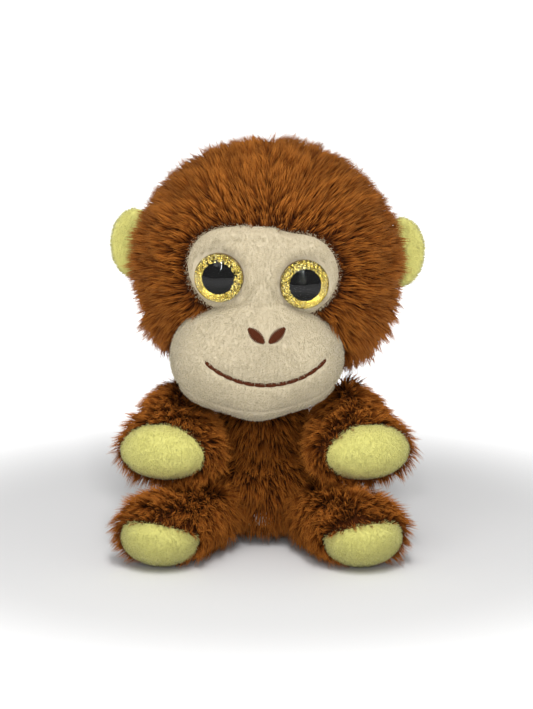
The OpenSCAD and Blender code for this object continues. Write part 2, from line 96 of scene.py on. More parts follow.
neck = Vector(joints["head_turn"]["pos_m"])
head_low, head_high = box_of("head_left_panel", "head_right_panel", "head_back_panel")
head_bottom = neck.z + 0.8 * MM
head_c = Vector(((head_low.x + head_high.x) / 2, neck.y - 2 * MM, (head_bottom + head_high.z) / 2))
head_r = Vector(((head_high.x - head_low.x) / 2, head_high.y - head_c.y, (head_high.z - head_bottom) / 2))
muzzle_low, muzzle_high = box_of("muzzle_upper", "muzzle_chin")
muzzle_c = (muzzle_low + muzzle_high) / 2
mask_low, mask_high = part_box("face_mask")
mask_c = (mask_low + mask_high) / 2
print("head middle", head_c, "radii", head_r)

# %% [markdown]
# ## Camera, light and floor
# A product picture of a small toy: a long lens a little above it, a white table and white
# surroundings, one large soft light above and in front, and two thin strip lights, one upright
# and one level, that the eyes' domes reflect.

# %% Camera
CAMERA_DISTANCE = 0.9
CAMERA_HEIGHT_ANGLE = math.radians(12)
look_at = Vector((1.25 * MM, 0, 66.7 * MM))
camera_data = bpy.data.cameras.new("camera")
camera_data.lens = 128
camera = bpy.data.objects.new("camera", camera_data)
camera.location = look_at + CAMERA_DISTANCE * Vector(
    (0, -math.cos(CAMERA_HEIGHT_ANGLE), math.sin(CAMERA_HEIGHT_ANGLE)))
camera.rotation_euler = (look_at - camera.location).to_track_quat("-Z", "Y").to_euler()
bpy.context.scene.collection.objects.link(camera)
bpy.context.scene.camera = camera
bpy.context.scene.view_settings.view_transform = "Standard"
print("camera at", camera.location)

# %% Surroundings, lights and floor
world = bpy.data.worlds.new("surroundings")
world.use_nodes = True
world.node_tree.nodes["Background"].inputs["Color"].default_value = (1, 1, 1, 1)
world.node_tree.nodes["Background"].inputs["Strength"].default_value = 0.42
bpy.context.scene.world = world


def area_light(name, place, target, size, power):
    """A rectangular lamp at a place, turned towards a target."""
    lamp_data = bpy.data.lights.new(name, "AREA")
    lamp_data.shape = "RECTANGLE"
    lamp_data.size, lamp_data.size_y = size
    lamp_data.energy = power
    lamp = bpy.data.objects.new(name, lamp_data)
    lamp.location = place
    lamp.rotation_euler = (Vector(target) - Vector(place)).to_track_quat("-Z", "Y").to_euler()
    bpy.context.scene.collection.objects.link(lamp)
    return lamp


area_light("top_softbox", (-0.10, -0.35, 0.75), (0, 0, 0.08), (0.5, 0.4), 1.6)
area_light("strip_upright", (0.03, -0.47, 0.63), (0, 0, 0.09), (0.034, 0.46), 3.2)
area_light("strip_level", (0, -1.05, 0.40), (0, 0, 0.09), (0.50, 0.042), 2.8)

FLOOR_HALF = 6
bpy.ops.mesh.primitive_plane_add(size=2 * FLOOR_HALF, location=(0, 0, 0))
floor = bpy.context.object
floor.name = "floor"
floor_paint = bpy.data.materials.new("white_table")
floor_paint.use_nodes = True
floor_paint.node_tree.nodes["Principled BSDF"].inputs["Base Color"].default_value = (0.72, 0.72, 0.72, 1)
floor_paint.node_tree.nodes["Principled BSDF"].inputs["Roughness"].default_value = 0.9
floor.data.materials.append(floor_paint)


def brighten_far_floor(near, far):
    """The table runs into a lit white backdrop: it glows more and more with distance."""
    nodes, links = floor_paint.node_tree.nodes, floor_paint.node_tree.links
    place = nodes.new("ShaderNodeTexCoord")
    length = nodes.new("ShaderNodeVectorMath")
    length.operation = "LENGTH"
    links.new(place.outputs["Object"], length.inputs[0])
    span = nodes.new("ShaderNodeMapRange")
    span.interpolation_type = "SMOOTHSTEP"
    span.inputs["From Min"].default_value = near
    span.inputs["From Max"].default_value = far
    links.new(length.outputs["Value"], span.inputs["Value"])
    shader = nodes["Principled BSDF"]
    shader.inputs["Emission Color"].default_value = (1, 1, 1, 1)
    links.new(span.outputs["Result"], shader.inputs["Emission Strength"])


brighten_far_floor(0.10, 0.26)
print("lights and floor are set")

# %% [markdown]
# ## Helpers for working on one piece at a time
# Operators act on whatever is selected, so everything is let go before a piece is picked up.

# %% Select, edit and finish


def pick(piece):
    """Makes one piece the only one that is selected, and active."""
    for other in list(bpy.context.selected_objects):
        other.select_set(False)
    piece.select_set(True)
    bpy.context.view_layer.objects.active = piece


def settle(piece):
    """Moves a piece's place, turn and size into its mesh."""
    pick(piece)
    bpy.ops.object.transform_apply(location=True, rotation=True, scale=True)


def apply_all(piece):
    pick(piece)
    for modifier in list(piece.modifiers):
        bpy.ops.object.modifier_apply(modifier=modifier.name)


def points_of(mesh):
    flat = np.empty(len(mesh.vertices) * 3)
    mesh.vertices.foreach_get("co", flat)
    return flat.reshape(-1, 3)


def move_points(mesh, places):
    mesh.vertices.foreach_set("co", np.ascontiguousarray(places, dtype=float).ravel())
    mesh.update()


def normals_of(mesh):
    flat = np.empty(len(mesh.vertices) * 3)
    mesh.vertex_normals.foreach_get("vector", flat)
    return flat.reshape(-1, 3)


def copy_of(piece, name):
    """A second piece with its own mesh."""
    twin = piece.copy()
    twin.data = piece.data.copy()
    twin.name = name
    twin.data.name = name
    bpy.context.scene.collection.objects.link(twin)
    return twin


def drop(piece):
    mesh = piece.data
    bpy.data.objects.remove(piece)
    bpy.data.meshes.remove(mesh)


def smooth(piece):
    pick(piece)
    bpy.ops.object.shade_smooth()


def ball(name, centre, radii, segments=32):
    """An egg-shaped form, the start of most stuffed pieces."""
    bpy.ops.mesh.primitive_uv_sphere_add(segments=segments, ring_count=segments // 2, radius=1,
                                         location=centre, scale=radii)
    piece = bpy.context.object
    piece.name = name
    settle(piece)
    return piece


def joined(name, pieces):
    """Several forms as one object."""
    pick(pieces[0])
    for piece in pieces[1:]:
        piece.select_set(True)
    bpy.ops.object.join()
    pieces[0].name = name
    return pieces[0]


def remesh(piece, voxel):
    """Replaces a mesh by even, quilt-sized faces, which also merges forms that overlap."""
    modifier = piece.modifiers.new("even_faces", "REMESH")
    modifier.mode = "VOXEL"
    modifier.voxel_size = voxel
    apply_all(piece)


def subdivide(piece, levels=1):
    modifier = piece.modifiers.new("fine", "SUBSURF")
    modifier.levels = levels
    modifier.render_levels = levels
    apply_all(piece)


# %% [markdown]
# ## Stuffing a skin
# A sewn skin is pushed out by its stuffing everywhere except along its seams. The skin is
# made a little small, blown up by Blender's Cloth with pressure, and held back along the
# seams. Cloth is tuned for garments, so a toy of this size is blown up ten times larger and
# brought back. The move of each point is capped, which keeps the sizes true.

# %% Cloth pressure
SIM_SCALE = 10
SIM_FRAMES = 14


def stuff(piece, cap, pressure=90.0, held=None):
    """Blows a closed skin up by at most cap. held is a share from 0 to 1 for each point, 1 on a seam."""
    rest = points_of(piece.data)
    move_points(piece.data, rest * SIM_SCALE)
    if held is not None:
        group = piece.vertex_groups.new(name="seam")
        for index in np.nonzero(held > 0.02)[0]:
            group.add([int(index)], float(held[index]), "REPLACE")
    cloth = piece.modifiers.new("pressure", "CLOTH")
    settings = cloth.settings
    settings.quality = 6
    settings.mass = 0.25
    settings.tension_stiffness = 8
    settings.compression_stiffness = 8
    settings.shear_stiffness = 4
    settings.bending_stiffness = 0.6
    settings.use_pressure = True
    settings.uniform_pressure_force = pressure
    settings.effector_weights.gravity = 0
    cloth.point_cache.frame_start = 1
    cloth.point_cache.frame_end = SIM_FRAMES
    if held is not None:
        settings.vertex_group_mass = "seam"
        settings.pin_stiffness = 1
    for step in range(1, SIM_FRAMES + 1):
        bpy.context.scene.frame_set(step)
    blown = piece.evaluated_get(bpy.context.evaluated_depsgraph_get())
    moved = points_of(blown.data) / SIM_SCALE - rest
    piece.modifiers.clear()
    piece.vertex_groups.clear()
    bpy.context.scene.frame_set(1)
    far = np.linalg.norm(moved, axis=1)
    moved *= np.minimum(1, cap / np.maximum(far, 1e-9))[:, None]
    move_points(piece.data, rest + moved)
    print(f"{piece.name}: stuffed, moves {far.mean() / MM:.2f} mm on average, cap {cap / MM:.1f} mm")

# %% [markdown]
# ## Colours and finishes
# Plush gets its colour from its hairs: dark down at the backing, a painted shade where no light
# comes, and lightest at the tips, a painted highlight. So each tuft carries a map whose height runs
# from root to tip and whose width picks one of many slightly different shades. One node group turns
# that map into colour, and every kind of pile uses it with its own three colours.

# %% Shared effects
PILE_MAP = "OFBake"


def value_socket(group, name, kind, default, into="INPUT"):
    socket = group.interface.new_socket(name=name, in_out=into, socket_type=kind)
    if into == "INPUT":
        socket.default_value = default
    return socket


def pile_colour_group():
    """Root, middle and tip colour along a hair, with a shade of its own for each tuft. The dark root is
    painted shade, the light tip a painted highlight.
    """
    group = bpy.data.node_groups.new("pile_colour", "ShaderNodeTree")
    defaults = {"Root": (0.05, 0.02, 0.01, 1), "Middle": (0.3, 0.12, 0.05, 1), "Tip": (0.6, 0.3, 0.12, 1)}
    for name, colour in defaults.items():
        value_socket(group, name, "NodeSocketColor", colour)
    value_socket(group, "Middle place", "NodeSocketFloat", 0.45)
    value_socket(group, "Shade spread", "NodeSocketFloat", 0.3)
    value_socket(group, "Colour", "NodeSocketColor", None, "OUTPUT")
    nodes, links = group.nodes, group.links
    given = nodes.new("NodeGroupInput")
    result = nodes.new("NodeGroupOutput")
    uv = nodes.new("ShaderNodeUVMap")
    uv.uv_map = PILE_MAP
    parts = nodes.new("ShaderNodeSeparateXYZ")
    links.new(uv.outputs["UV"], parts.inputs[0])

    def blend_over(low, high, first, second):
        """Goes from the first colour to the second between two heights."""
        span = nodes.new("ShaderNodeMapRange")
        span.interpolation_type = "SMOOTHSTEP"
        links.new(parts.outputs["Y"], span.inputs["Value"])
        for socket, limit in (("From Min", low), ("From Max", high)):
            if isinstance(limit, float):
                span.inputs[socket].default_value = limit
            else:
                links.new(limit, span.inputs[socket])
        mix = nodes.new("ShaderNodeMix")
        mix.data_type = "RGBA"
        links.new(span.outputs["Result"], mix.inputs["Factor"])
        links.new(first, mix.inputs["A"])
        links.new(second, mix.inputs["B"])
        return mix.outputs["Result"]

    lower = blend_over(0.0, given.outputs["Middle place"], given.outputs["Root"], given.outputs["Middle"])
    whole = blend_over(given.outputs["Middle place"], 1.0, lower, given.outputs["Tip"])
    shade = nodes.new("ShaderNodeMath")
    shade.operation = "SUBTRACT"
    shade.inputs[1].default_value = 0.5
    links.new(parts.outputs["X"], shade.inputs[0])
    amount = nodes.new("ShaderNodeMath")
    amount.operation = "MULTIPLY_ADD"
    amount.inputs[2].default_value = 1.0
    links.new(shade.outputs[0], amount.inputs[0])
    links.new(given.outputs["Shade spread"], amount.inputs[1])
    tone = nodes.new("ShaderNodeHueSaturation")
    links.new(amount.outputs[0], tone.inputs["Value"])
    links.new(whole, tone.inputs["Color"])
    links.new(tone.outputs["Color"], result.inputs["Colour"])
    return group


def mottle_group():
    """Cloud-like patches of lighter and darker cloth, and the same as a height."""
    group = bpy.data.node_groups.new("mottle", "ShaderNodeTree")
    value_socket(group, "Base", "NodeSocketColor", (0.5, 0.5, 0.5, 1))
    value_socket(group, "Patch size", "NodeSocketFloat", 0.002)
    value_socket(group, "Amount", "NodeSocketFloat", 0.2)
    value_socket(group, "Colour", "NodeSocketColor", None, "OUTPUT")
    value_socket(group, "Height", "NodeSocketFloat", None, "OUTPUT")
    nodes, links = group.nodes, group.links
    given = nodes.new("NodeGroupInput")
    result = nodes.new("NodeGroupOutput")
    place = nodes.new("ShaderNodeTexCoord")
    fine = nodes.new("ShaderNodeMath")
    fine.operation = "DIVIDE"
    fine.inputs[0].default_value = 1.0
    links.new(given.outputs["Patch size"], fine.inputs[1])
    clouds = nodes.new("ShaderNodeTexNoise")
    clouds.inputs["Detail"].default_value = 4
    links.new(place.outputs["Object"], clouds.inputs["Vector"])
    links.new(fine.outputs[0], clouds.inputs["Scale"])
    centred = nodes.new("ShaderNodeMath")
    centred.operation = "SUBTRACT"
    centred.inputs[1].default_value = 0.5
    links.new(clouds.outputs["Fac"], centred.inputs[0])
    value = nodes.new("ShaderNodeMath")
    value.operation = "MULTIPLY_ADD"
    value.inputs[2].default_value = 1.0
    links.new(centred.outputs[0], value.inputs[0])
    links.new(given.outputs["Amount"], value.inputs[1])
    tone = nodes.new("ShaderNodeHueSaturation")
    links.new(value.outputs[0], tone.inputs["Value"])
    links.new(given.outputs["Base"], tone.inputs["Color"])
    links.new(tone.outputs["Color"], result.inputs["Colour"])
    links.new(clouds.outputs["Fac"], result.inputs["Height"])
    return group


PILE_COLOUR = pile_colour_group()
MOTTLE = mottle_group()
print("shared effects:", PILE_COLOUR.name, MOTTLE.name)

# %% [markdown]
# A material keeps its own Principled shader, and the groups feed its colour and its bump.

# %% Materials


def new_material(name, **settings):
    """A material and its Principled shader, with plain settings on the shader's own sockets."""
    material = bpy.data.materials.new(name)
    material.use_nodes = True
    shader = material.node_tree.nodes["Principled BSDF"]
    for socket, value in settings.items():
        shader.inputs[socket.replace("_", " ")].default_value = value
    return material, shader


def pile_material(name, root, middle, tip, place=0.45, spread=0.35, sheen=0.15, tint=(1, 1, 1, 1),
                  shine=0.15):
    material, shader = new_material(name, Roughness=0.65, Specular_IOR_Level=shine, Sheen_Weight=sheen,
                                    Sheen_Roughness=0.45, Sheen_Tint=tint)
    nodes, links = material.node_tree.nodes, material.node_tree.links
    colour = nodes.new("ShaderNodeGroup")
    colour.node_tree = PILE_COLOUR
    for socket, value in (("Root", root), ("Middle", middle), ("Tip", tip)):
        colour.inputs[socket].default_value = (*value, 1)
    colour.inputs["Middle place"].default_value = place
    colour.inputs["Shade spread"].default_value = spread
    links.new(colour.outputs["Colour"], shader.inputs["Base Color"])
    return material


def cloth_material(name, base, patch=2.0 * MM, amount=0.25, bump=0.1, roughness=0.9, sheen=0.3, shine=0.3):
    material, shader = new_material(name, Roughness=roughness, Sheen_Weight=sheen, Sheen_Roughness=0.5,
                                    Specular_IOR_Level=shine)
    nodes, links = material.node_tree.nodes, material.node_tree.links
    mottle = nodes.new("ShaderNodeGroup")
    mottle.node_tree = MOTTLE
    mottle.inputs["Base"].default_value = (*base, 1)
    mottle.inputs["Patch size"].default_value = patch
    mottle.inputs["Amount"].default_value = amount
    links.new(mottle.outputs["Colour"], shader.inputs["Base Color"])
    relief = nodes.new("ShaderNodeBump")
    relief.inputs["Strength"].default_value = bump
    relief.inputs["Distance"].default_value = patch
    links.new(mottle.outputs["Height"], relief.inputs["Height"])
    links.new(relief.outputs["Normal"], shader.inputs["Normal"])
    return material


# Each pile's root colour is painted shade and its tip colour a painted highlight; the middle colour is the
# pile's own.
brown_pile = pile_material("brown_pile", (0.012, 0.003, 0.001), (0.20, 0.054, 0.006), (0.62, 0.215, 0.034),
                           spread=0.5, sheen=0.03, tint=(1.0, 0.55, 0.2, 1), shine=0.08)
cream_pile = pile_material("cream_pile", (0.30, 0.25, 0.15), (0.60, 0.52, 0.35), (0.78, 0.69, 0.49),
                           spread=0.25)
green_pile = pile_material("green_pile", (0.40, 0.37, 0.10), (0.62, 0.59, 0.19), (0.78, 0.75, 0.34),
                           spread=0.25)
brown_backing = cloth_material("brown_backing", (0.05, 0.013, 0.003), sheen=0, shine=0.05)
cream_cloth = cloth_material("cream_cloth", (0.50, 0.43, 0.30), patch=1.2 * MM, amount=0.3, bump=0.3)
green_cloth = cloth_material("green_cloth", (0.58, 0.55, 0.17), patch=1.2 * MM, amount=0.3, bump=0.3)
fibre = cloth_material("fibre", (0.85, 0.85, 0.83), patch=0.8 * MM, bump=0.8)
lining = cloth_material("lining", (0.75, 0.75, 0.70), patch=0.5 * MM, bump=0.4)
thread = cloth_material("thread", (0.075, 0.020, 0.008), patch=0.35 * MM, amount=0.8, bump=0.6, sheen=0,
                        shine=0.05)
pellet_plastic, _ = new_material("pellet_plastic", Base_Color=(0.8, 0.8, 0.76, 1), Roughness=0.5)
washer_plastic = cloth_material("washer_plastic", (0.8, 0.8, 0.78), patch=0.3 * MM, amount=0.1, bump=0.1,
                                roughness=0.45, sheen=0)
eye_black, _ = new_material("eye_black", Base_Color=(0.004, 0.004, 0.004, 1), Roughness=0.3,
                            Specular_IOR_Level=0.0)
eye_plate, _ = new_material("eye_plate", Base_Color=(0.10, 0.06, 0.02, 1), Roughness=0.3)


def glitter_material():
    """Metal flakes, each a little lighter or redder than the next."""
    material, shader = new_material("glitter", Metallic=0.9, Roughness=0.25)
    nodes, links = material.node_tree.nodes, material.node_tree.links
    colour = nodes.new("ShaderNodeGroup")
    colour.node_tree = PILE_COLOUR
    golds = {"Root": (0.42, 0.30, 0.03), "Middle": (0.85, 0.68, 0.14), "Tip": (1.0, 0.93, 0.50)}
    for socket, value in golds.items():
        colour.inputs[socket].default_value = (*value, 1)
    colour.inputs["Middle place"].default_value = 0.5
    colour.inputs["Shade spread"].default_value = 0.3
    links.new(colour.outputs["Colour"], shader.inputs["Base Color"])
    return material


def clear_material():
    """Clear plastic that lets the light through to what lies under it."""
    material, shader = new_material("clear_dome", Base_Color=(1, 1, 1, 1), Roughness=0.02, IOR=1.30,
                                    Transmission_Weight=1.0)
    nodes, links = material.node_tree.nodes, material.node_tree.links
    passing = nodes.new("ShaderNodeBsdfTransparent")
    rays = nodes.new("ShaderNodeLightPath")
    mix = nodes.new("ShaderNodeMixShader")
    links.new(rays.outputs["Is Shadow Ray"], mix.inputs[0])
    links.new(shader.outputs[0], mix.inputs[1])
    links.new(passing.outputs[0], mix.inputs[2])
    links.new(mix.outputs[0], nodes["Material Output"].inputs["Surface"])
    return material


glitter = glitter_material()
clear_dome = clear_material()
print(len(bpy.data.materials), "materials")

# %% [markdown]
# ## Tufts
# A whole head of hair is far too much to model, so one hair is made, a tuft is a few bent
# copies of it that lean together at their tips, and the pile is many copies of a few tufts.
# A hair is a three-sided spike with one ring half-way, closed all round, so it looks the
# same from every side. Its map gives each hair a little width and its height from root to tip.

# %% Hair and tufts
tuft_shelf = {}


def hair(name, thickness, rings=1):
    """A three-sided spike of length one, with a map from root to tip."""
    bpy.ops.mesh.primitive_cone_add(vertices=3, radius1=thickness, radius2=0, depth=1,
                                    end_fill_type="NOTHING", location=(0, 0, 0.5))
    piece = bpy.context.object
    piece.name = name
    settle(piece)
    bpy.ops.object.mode_set(mode="EDIT")
    for ring in range(rings):
        bpy.ops.mesh.select_all(action="SELECT")
        bpy.ops.mesh.bisect(plane_co=(0, 0, (ring + 1) / (rings + 1)), plane_no=(0, 0, 1))
    bpy.ops.object.mode_set(mode="OBJECT")
    return piece


def tuft(name, single, count, spread, gather, bend, seed):
    """Bent copies of one hair that stand close together and lean in at their tips."""
    rng = random.Random(seed)
    copies = []
    for _ in range(count):
        twin = copy_of(single, name)
        angle = rng.uniform(0, 2 * math.pi)
        foot = Vector((math.cos(angle), math.sin(angle), 0)) * spread * math.sqrt(rng.random())
        length = rng.uniform(0.72, 1.0)
        curl = bend * rng.uniform(0.6, 1.4)
        twist = Matrix.Rotation(rng.uniform(0, 2 * math.pi), 3, "Z")
        for vertex in twin.data.vertices:
            t = vertex.co.z
            fatness = 1.25 * (1 - 0.45 * t) if 0.01 < t < 0.99 else 1
            place = twist @ Vector((vertex.co.x * fatness, vertex.co.y * fatness, 0))
            place += foot * (1 - gather * t) + Vector((curl * t * t, 0, t * length))
            vertex.co = place
        layer = twin.data.uv_layers.new(name="UVMap") if not twin.data.uv_layers else twin.data.uv_layers[0]
        for loop in twin.data.loops:
            vertex = twin.data.vertices[loop.vertex_index]
            layer.data[loop.index].uv = (0.5 + 0.4 * (loop.index % 2 - 0.5), min(1.0, vertex.co.z / length))
        copies.append(twin)
    whole = joined(name, copies)
    smooth(whole)
    return whole


def shelf_of_tufts(kind, thickness, variants, count, spread, gather, bend, rings):
    """A collection of different tufts to plant from."""
    collection = bpy.data.collections.new(kind)
    bpy.context.scene.collection.children.link(collection)
    single = hair(kind + "_hair", thickness, rings)
    for number in range(variants):
        made = tuft(f"{kind}_{number}", single, count, spread, gather, bend, seed=100 + number)
        for home in list(made.users_collection):
            home.objects.unlink(made)
        collection.objects.link(made)
    drop(single)
    tuft_shelf[kind] = collection
    print(kind, "tufts:", variants, "of", len(made.data.polygons), "faces")


shelf_of_tufts("plush", thickness=0.030, variants=8, count=8, spread=0.20, gather=0.50, bend=0.30, rings=1)
shelf_of_tufts("velour", thickness=0.10, variants=5, count=4, spread=0.55, gather=-0.3, bend=0.25, rings=0)

# %% [markdown]
# ## Planting
# A Geometry Nodes modifier scatters the tufts evenly over a skin, never closer than a set
# spacing. Two values are painted on the skin's points: "pile", how long the hair is there,
# with none at zero, and "comb", the way it is brushed. The tufts lean along the comb, and a
# slow noise makes neighbours lean together, as brushed plush does. The modifier is applied,
# so the pile ends up as a plain mesh.

# %% The planting modifier


def planting_group():
    group = bpy.data.node_groups.new("planting", "GeometryNodeTree")
    kinds = {"Skin": "Geometry", "Tufts": "Collection", "Spacing": "Float", "Length": "Float",
             "Lean": "Float", "Wander": "Float", "Wave size": "Float", "Jitter": "Float", "Seed": "Int",
             "Material": "Material"}
    sockets = {name: group.interface.new_socket(name=name, in_out="INPUT", socket_type="NodeSocket" + kind)
               for name, kind in kinds.items()}
    group.interface.new_socket(name="Pile", in_out="OUTPUT", socket_type="NodeSocketGeometry")
    nodes, links = group.nodes, group.links
    given = nodes.new("NodeGroupInput")
    result = nodes.new("NodeGroupOutput")

    def attribute(name, kind):
        node = nodes.new("GeometryNodeInputNamedAttribute")
        node.data_type = kind
        node.inputs["Name"].default_value = name
        return node.outputs["Attribute"]

    def vector_math(operation, first, second, scale=None):
        node = nodes.new("ShaderNodeVectorMath")
        node.operation = operation
        links.new(first, node.inputs[0])
        if second is not None:
            links.new(second, node.inputs[1])
        if scale is not None:
            links.new(scale, node.inputs["Scale"])
        return node.outputs[0]

    def number_math(operation, first, second):
        node = nodes.new("ShaderNodeMath")
        node.operation = operation
        for socket, value in zip(node.inputs, (first, second)):
            if isinstance(value, (int, float)):
                socket.default_value = value
            else:
                links.new(value, socket)
        return node.outputs[0]

    def random_value(kind, low, high, seed_shift):
        node = nodes.new("FunctionNodeRandomValue")
        node.data_type = kind
        active = [socket for socket in node.inputs if socket.enabled]
        active[0].default_value = low
        active[1].default_value = high
        links.new(number_math("ADD", given.outputs["Seed"], seed_shift), node.inputs["Seed"])
        return [socket for socket in node.outputs if socket.enabled][0]

    pile = attribute("pile", "FLOAT")
    comb = attribute("comb", "FLOAT_VECTOR")
    scatter = nodes.new("GeometryNodeDistributePointsOnFaces")
    scatter.distribute_method = "POISSON"
    links.new(given.outputs["Skin"], scatter.inputs["Mesh"])
    links.new(given.outputs["Spacing"], scatter.inputs["Distance Min"])
    scatter.inputs["Density Max"].default_value = 8e6
    share = number_math("MINIMUM", number_math("MULTIPLY", pile, 4.0), 1.0)
    links.new(share, scatter.inputs["Density Factor"])
    links.new(given.outputs["Seed"], scatter.inputs["Seed"])

    waves = nodes.new("ShaderNodeTexNoise")
    waves.inputs["Detail"].default_value = 1
    position = nodes.new("GeometryNodeInputPosition")
    links.new(position.outputs[0], waves.inputs["Vector"])
    links.new(number_math("DIVIDE", 1.0, given.outputs["Wave size"]), waves.inputs["Scale"])
    half = nodes.new("ShaderNodeCombineXYZ")
    for axis in range(3):
        half.inputs[axis].default_value = 0.5
    wave = vector_math("SUBTRACT", waves.outputs["Color"], half.outputs[0])
    jitter = random_value("FLOAT_VECTOR", (-1, -1, -1), (1, 1, 1), 7)
    leaning = vector_math("SCALE", comb, None, given.outputs["Lean"])
    standing = vector_math("ADD", scatter.outputs["Normal"], leaning)
    standing = vector_math("ADD", standing, vector_math("SCALE", wave, None, given.outputs["Wander"]))
    standing = vector_math("ADD", standing, vector_math("SCALE", jitter, None, given.outputs["Jitter"]))
    turn = nodes.new("FunctionNodeAxesToRotation")
    turn.primary_axis = "Z"
    turn.secondary_axis = "X"
    links.new(standing, turn.inputs["Primary Axis"])
    links.new(comb, turn.inputs["Secondary Axis"])

    shade = number_math("ADD", number_math("MULTIPLY", waves.outputs["Fac"], 0.5),
                        random_value("FLOAT", 0.0, 0.5, 11))
    keep = nodes.new("GeometryNodeStoreNamedAttribute")
    keep.data_type = "FLOAT"
    keep.domain = "POINT"
    keep.inputs["Name"].default_value = "shade"
    links.new(scatter.outputs["Points"], keep.inputs["Geometry"])
    links.new(shade, keep.inputs["Value"])

    shelf = nodes.new("GeometryNodeCollectionInfo")
    shelf.inputs["Separate Children"].default_value = True
    shelf.inputs["Reset Children"].default_value = True
    links.new(given.outputs["Tufts"], shelf.inputs["Collection"])
    plant = nodes.new("GeometryNodeInstanceOnPoints")
    plant.inputs["Pick Instance"].default_value = True
    links.new(keep.outputs["Geometry"], plant.inputs["Points"])
    links.new(shelf.outputs["Instances"], plant.inputs["Instance"])
    links.new(random_value("INT", 0, 50, 13), plant.inputs["Instance Index"])
    links.new(turn.outputs["Rotation"], plant.inputs["Rotation"])
    length = number_math("MULTIPLY", number_math("MULTIPLY", given.outputs["Length"], pile),
                         random_value("FLOAT", 0.82, 1.12, 17))
    links.new(length, plant.inputs["Scale"])
    real = nodes.new("GeometryNodeRealizeInstances")
    links.new(plant.outputs["Instances"], real.inputs["Geometry"])

    flat = nodes.new("ShaderNodeSeparateXYZ")
    links.new(attribute("UVMap", "FLOAT_VECTOR"), flat.inputs[0])
    across = number_math("ADD", number_math("MULTIPLY", attribute("shade", "FLOAT"), 0.92),
                         number_math("MULTIPLY", flat.outputs["X"], 0.06))
    map_place = nodes.new("ShaderNodeCombineXYZ")
    links.new(number_math("MINIMUM", across, 0.99), map_place.inputs["X"])
    upward = number_math("ADD", number_math("MULTIPLY", flat.outputs["Y"], 0.98), 0.01)
    links.new(upward, map_place.inputs["Y"])
    store = nodes.new("GeometryNodeStoreNamedAttribute")
    store.data_type = "FLOAT2"
    store.domain = "CORNER"
    store.inputs["Name"].default_value = PILE_MAP
    links.new(real.outputs["Geometry"], store.inputs["Geometry"])
    links.new(map_place.outputs[0], store.inputs["Value"])
    paint = nodes.new("GeometryNodeSetMaterial")
    links.new(store.outputs["Geometry"], paint.inputs["Geometry"])
    links.new(given.outputs["Material"], paint.inputs["Material"])
    links.new(paint.outputs["Geometry"], result.inputs["Pile"])
    return group, sockets


PLANTING, PLANTING_SOCKETS = planting_group()


def paint_points(piece, pile, comb):
    """Writes how long the hair is and the way it is brushed on a skin's points."""
    length = piece.data.attributes.new("pile", "FLOAT", "POINT")
    length.data.foreach_set("value", np.ascontiguousarray(pile, dtype=np.float32))
    brushed = piece.data.attributes.new("comb", "FLOAT_VECTOR", "POINT")
    brushed.data.foreach_set("vector", np.ascontiguousarray(comb, dtype=np.float32).ravel())


TABLE_GAP = 0.25 * MM


def plant(name, skin, pile, comb, kind, material, spacing, length, lean, wander, wave, jitter, seed):
    """A pile of tufts on a copy of the skin, as one mesh that holds only the hairs."""
    piece = copy_of(skin, name)
    piece.data.materials.clear()
    paint_points(piece, pile, comb)
    modifier = piece.modifiers.new("planting", "NODES")
    modifier.node_group = PLANTING
    values = {"Tufts": tuft_shelf[kind], "Spacing": spacing, "Length": length, "Lean": lean, "Wander": wander,
              "Wave size": wave, "Jitter": jitter, "Seed": seed, "Material": material}
    for socket, value in values.items():
        modifier[PLANTING_SOCKETS[socket].identifier] = value
    apply_all(piece)
    for extra in ("shade", "pile", "comb", "UVMap"):
        if extra in piece.data.attributes:
            piece.data.attributes.remove(piece.data.attributes[extra])
    piece.data.materials.clear()
    piece.data.materials.append(material)
    at = points_of(piece.data)
    at[:, 2] = np.maximum(at[:, 2], TABLE_GAP)
    move_points(piece.data, at)
    print(f"{name}: {len(piece.data.loops) - 2 * len(piece.data.polygons)} triangles")
    return piece


def tangent(direction, normal):
    """The part of each direction that lies along the skin, at length one."""
    along = direction - normal * np.sum(direction * normal, axis=1, keepdims=True)
    return along / np.maximum(np.linalg.norm(along, axis=1, keepdims=True), 1e-6)


def rise(value, low, high):
    """Goes smoothly from 0 at low to 1 at high."""
    t = np.clip((value - low) / (high - low), 0, 1)
    return t * t * (3 - 2 * t)


def plant_plush(name, skin, pile, comb, seed, length=8.0 * MM, lean=0.65):
    return plant(name, skin, pile, comb, "plush", brown_pile, spacing=1.35 * MM, length=length, lean=lean,
                 wander=2.2, wave=6 * MM, jitter=0.22, seed=seed)


def plant_velour(name, skin, pile, comb, material, seed, length=1.1 * MM):
    return plant(name, skin, pile, comb, "velour", material, spacing=0.62 * MM, length=length, lean=0.35,
                 wander=1.2, wave=3 * MM, jitter=0.35, seed=seed)


def finish_piece(piece, body, nodes=()):
    """Puts a piece on its body and hides the measured nodes it stands for."""
    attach(piece, body)
    if nodes:
        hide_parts(*nodes)
    return piece


# %% [markdown]
# ## The head's cover
# The cover is sewn from a left, a right and a back panel. It starts as an egg a little
# smaller than the measured head, because the pile stands on top of it. The seams over the
# crown and down the sides are held back while the rest is blown up, and the cover is then
# cut into its three panels along those seams.

# %% Head cover
PILE_DEPTH = 3.7 * MM
SEAM_WIDTH = 2.2 * MM
side_seam_y = head_c.y + 8 * MM


def seam_share(distance, width=SEAM_WIDTH):
    """1 on a seam, falling to 0 a few millimetres away."""
    return np.exp(-(distance / width) ** 2)


def inset_radii(radii, depth):
    return Vector([r - depth for r in radii])


head_cover = ball("head_cover", head_c, inset_radii(head_r, PILE_DEPTH), segments=48)
remesh(head_cover, 2.6 * MM)
at = points_of(head_cover.data)
ahead = at[:, 1] < side_seam_y
head_seams = np.maximum(seam_share(at[:, 1] - side_seam_y), seam_share(at[:, 0] - head_c.x) * ahead)
stuff(head_cover, cap=1.2 * MM, held=head_seams)
subdivide(head_cover)
smooth(head_cover)


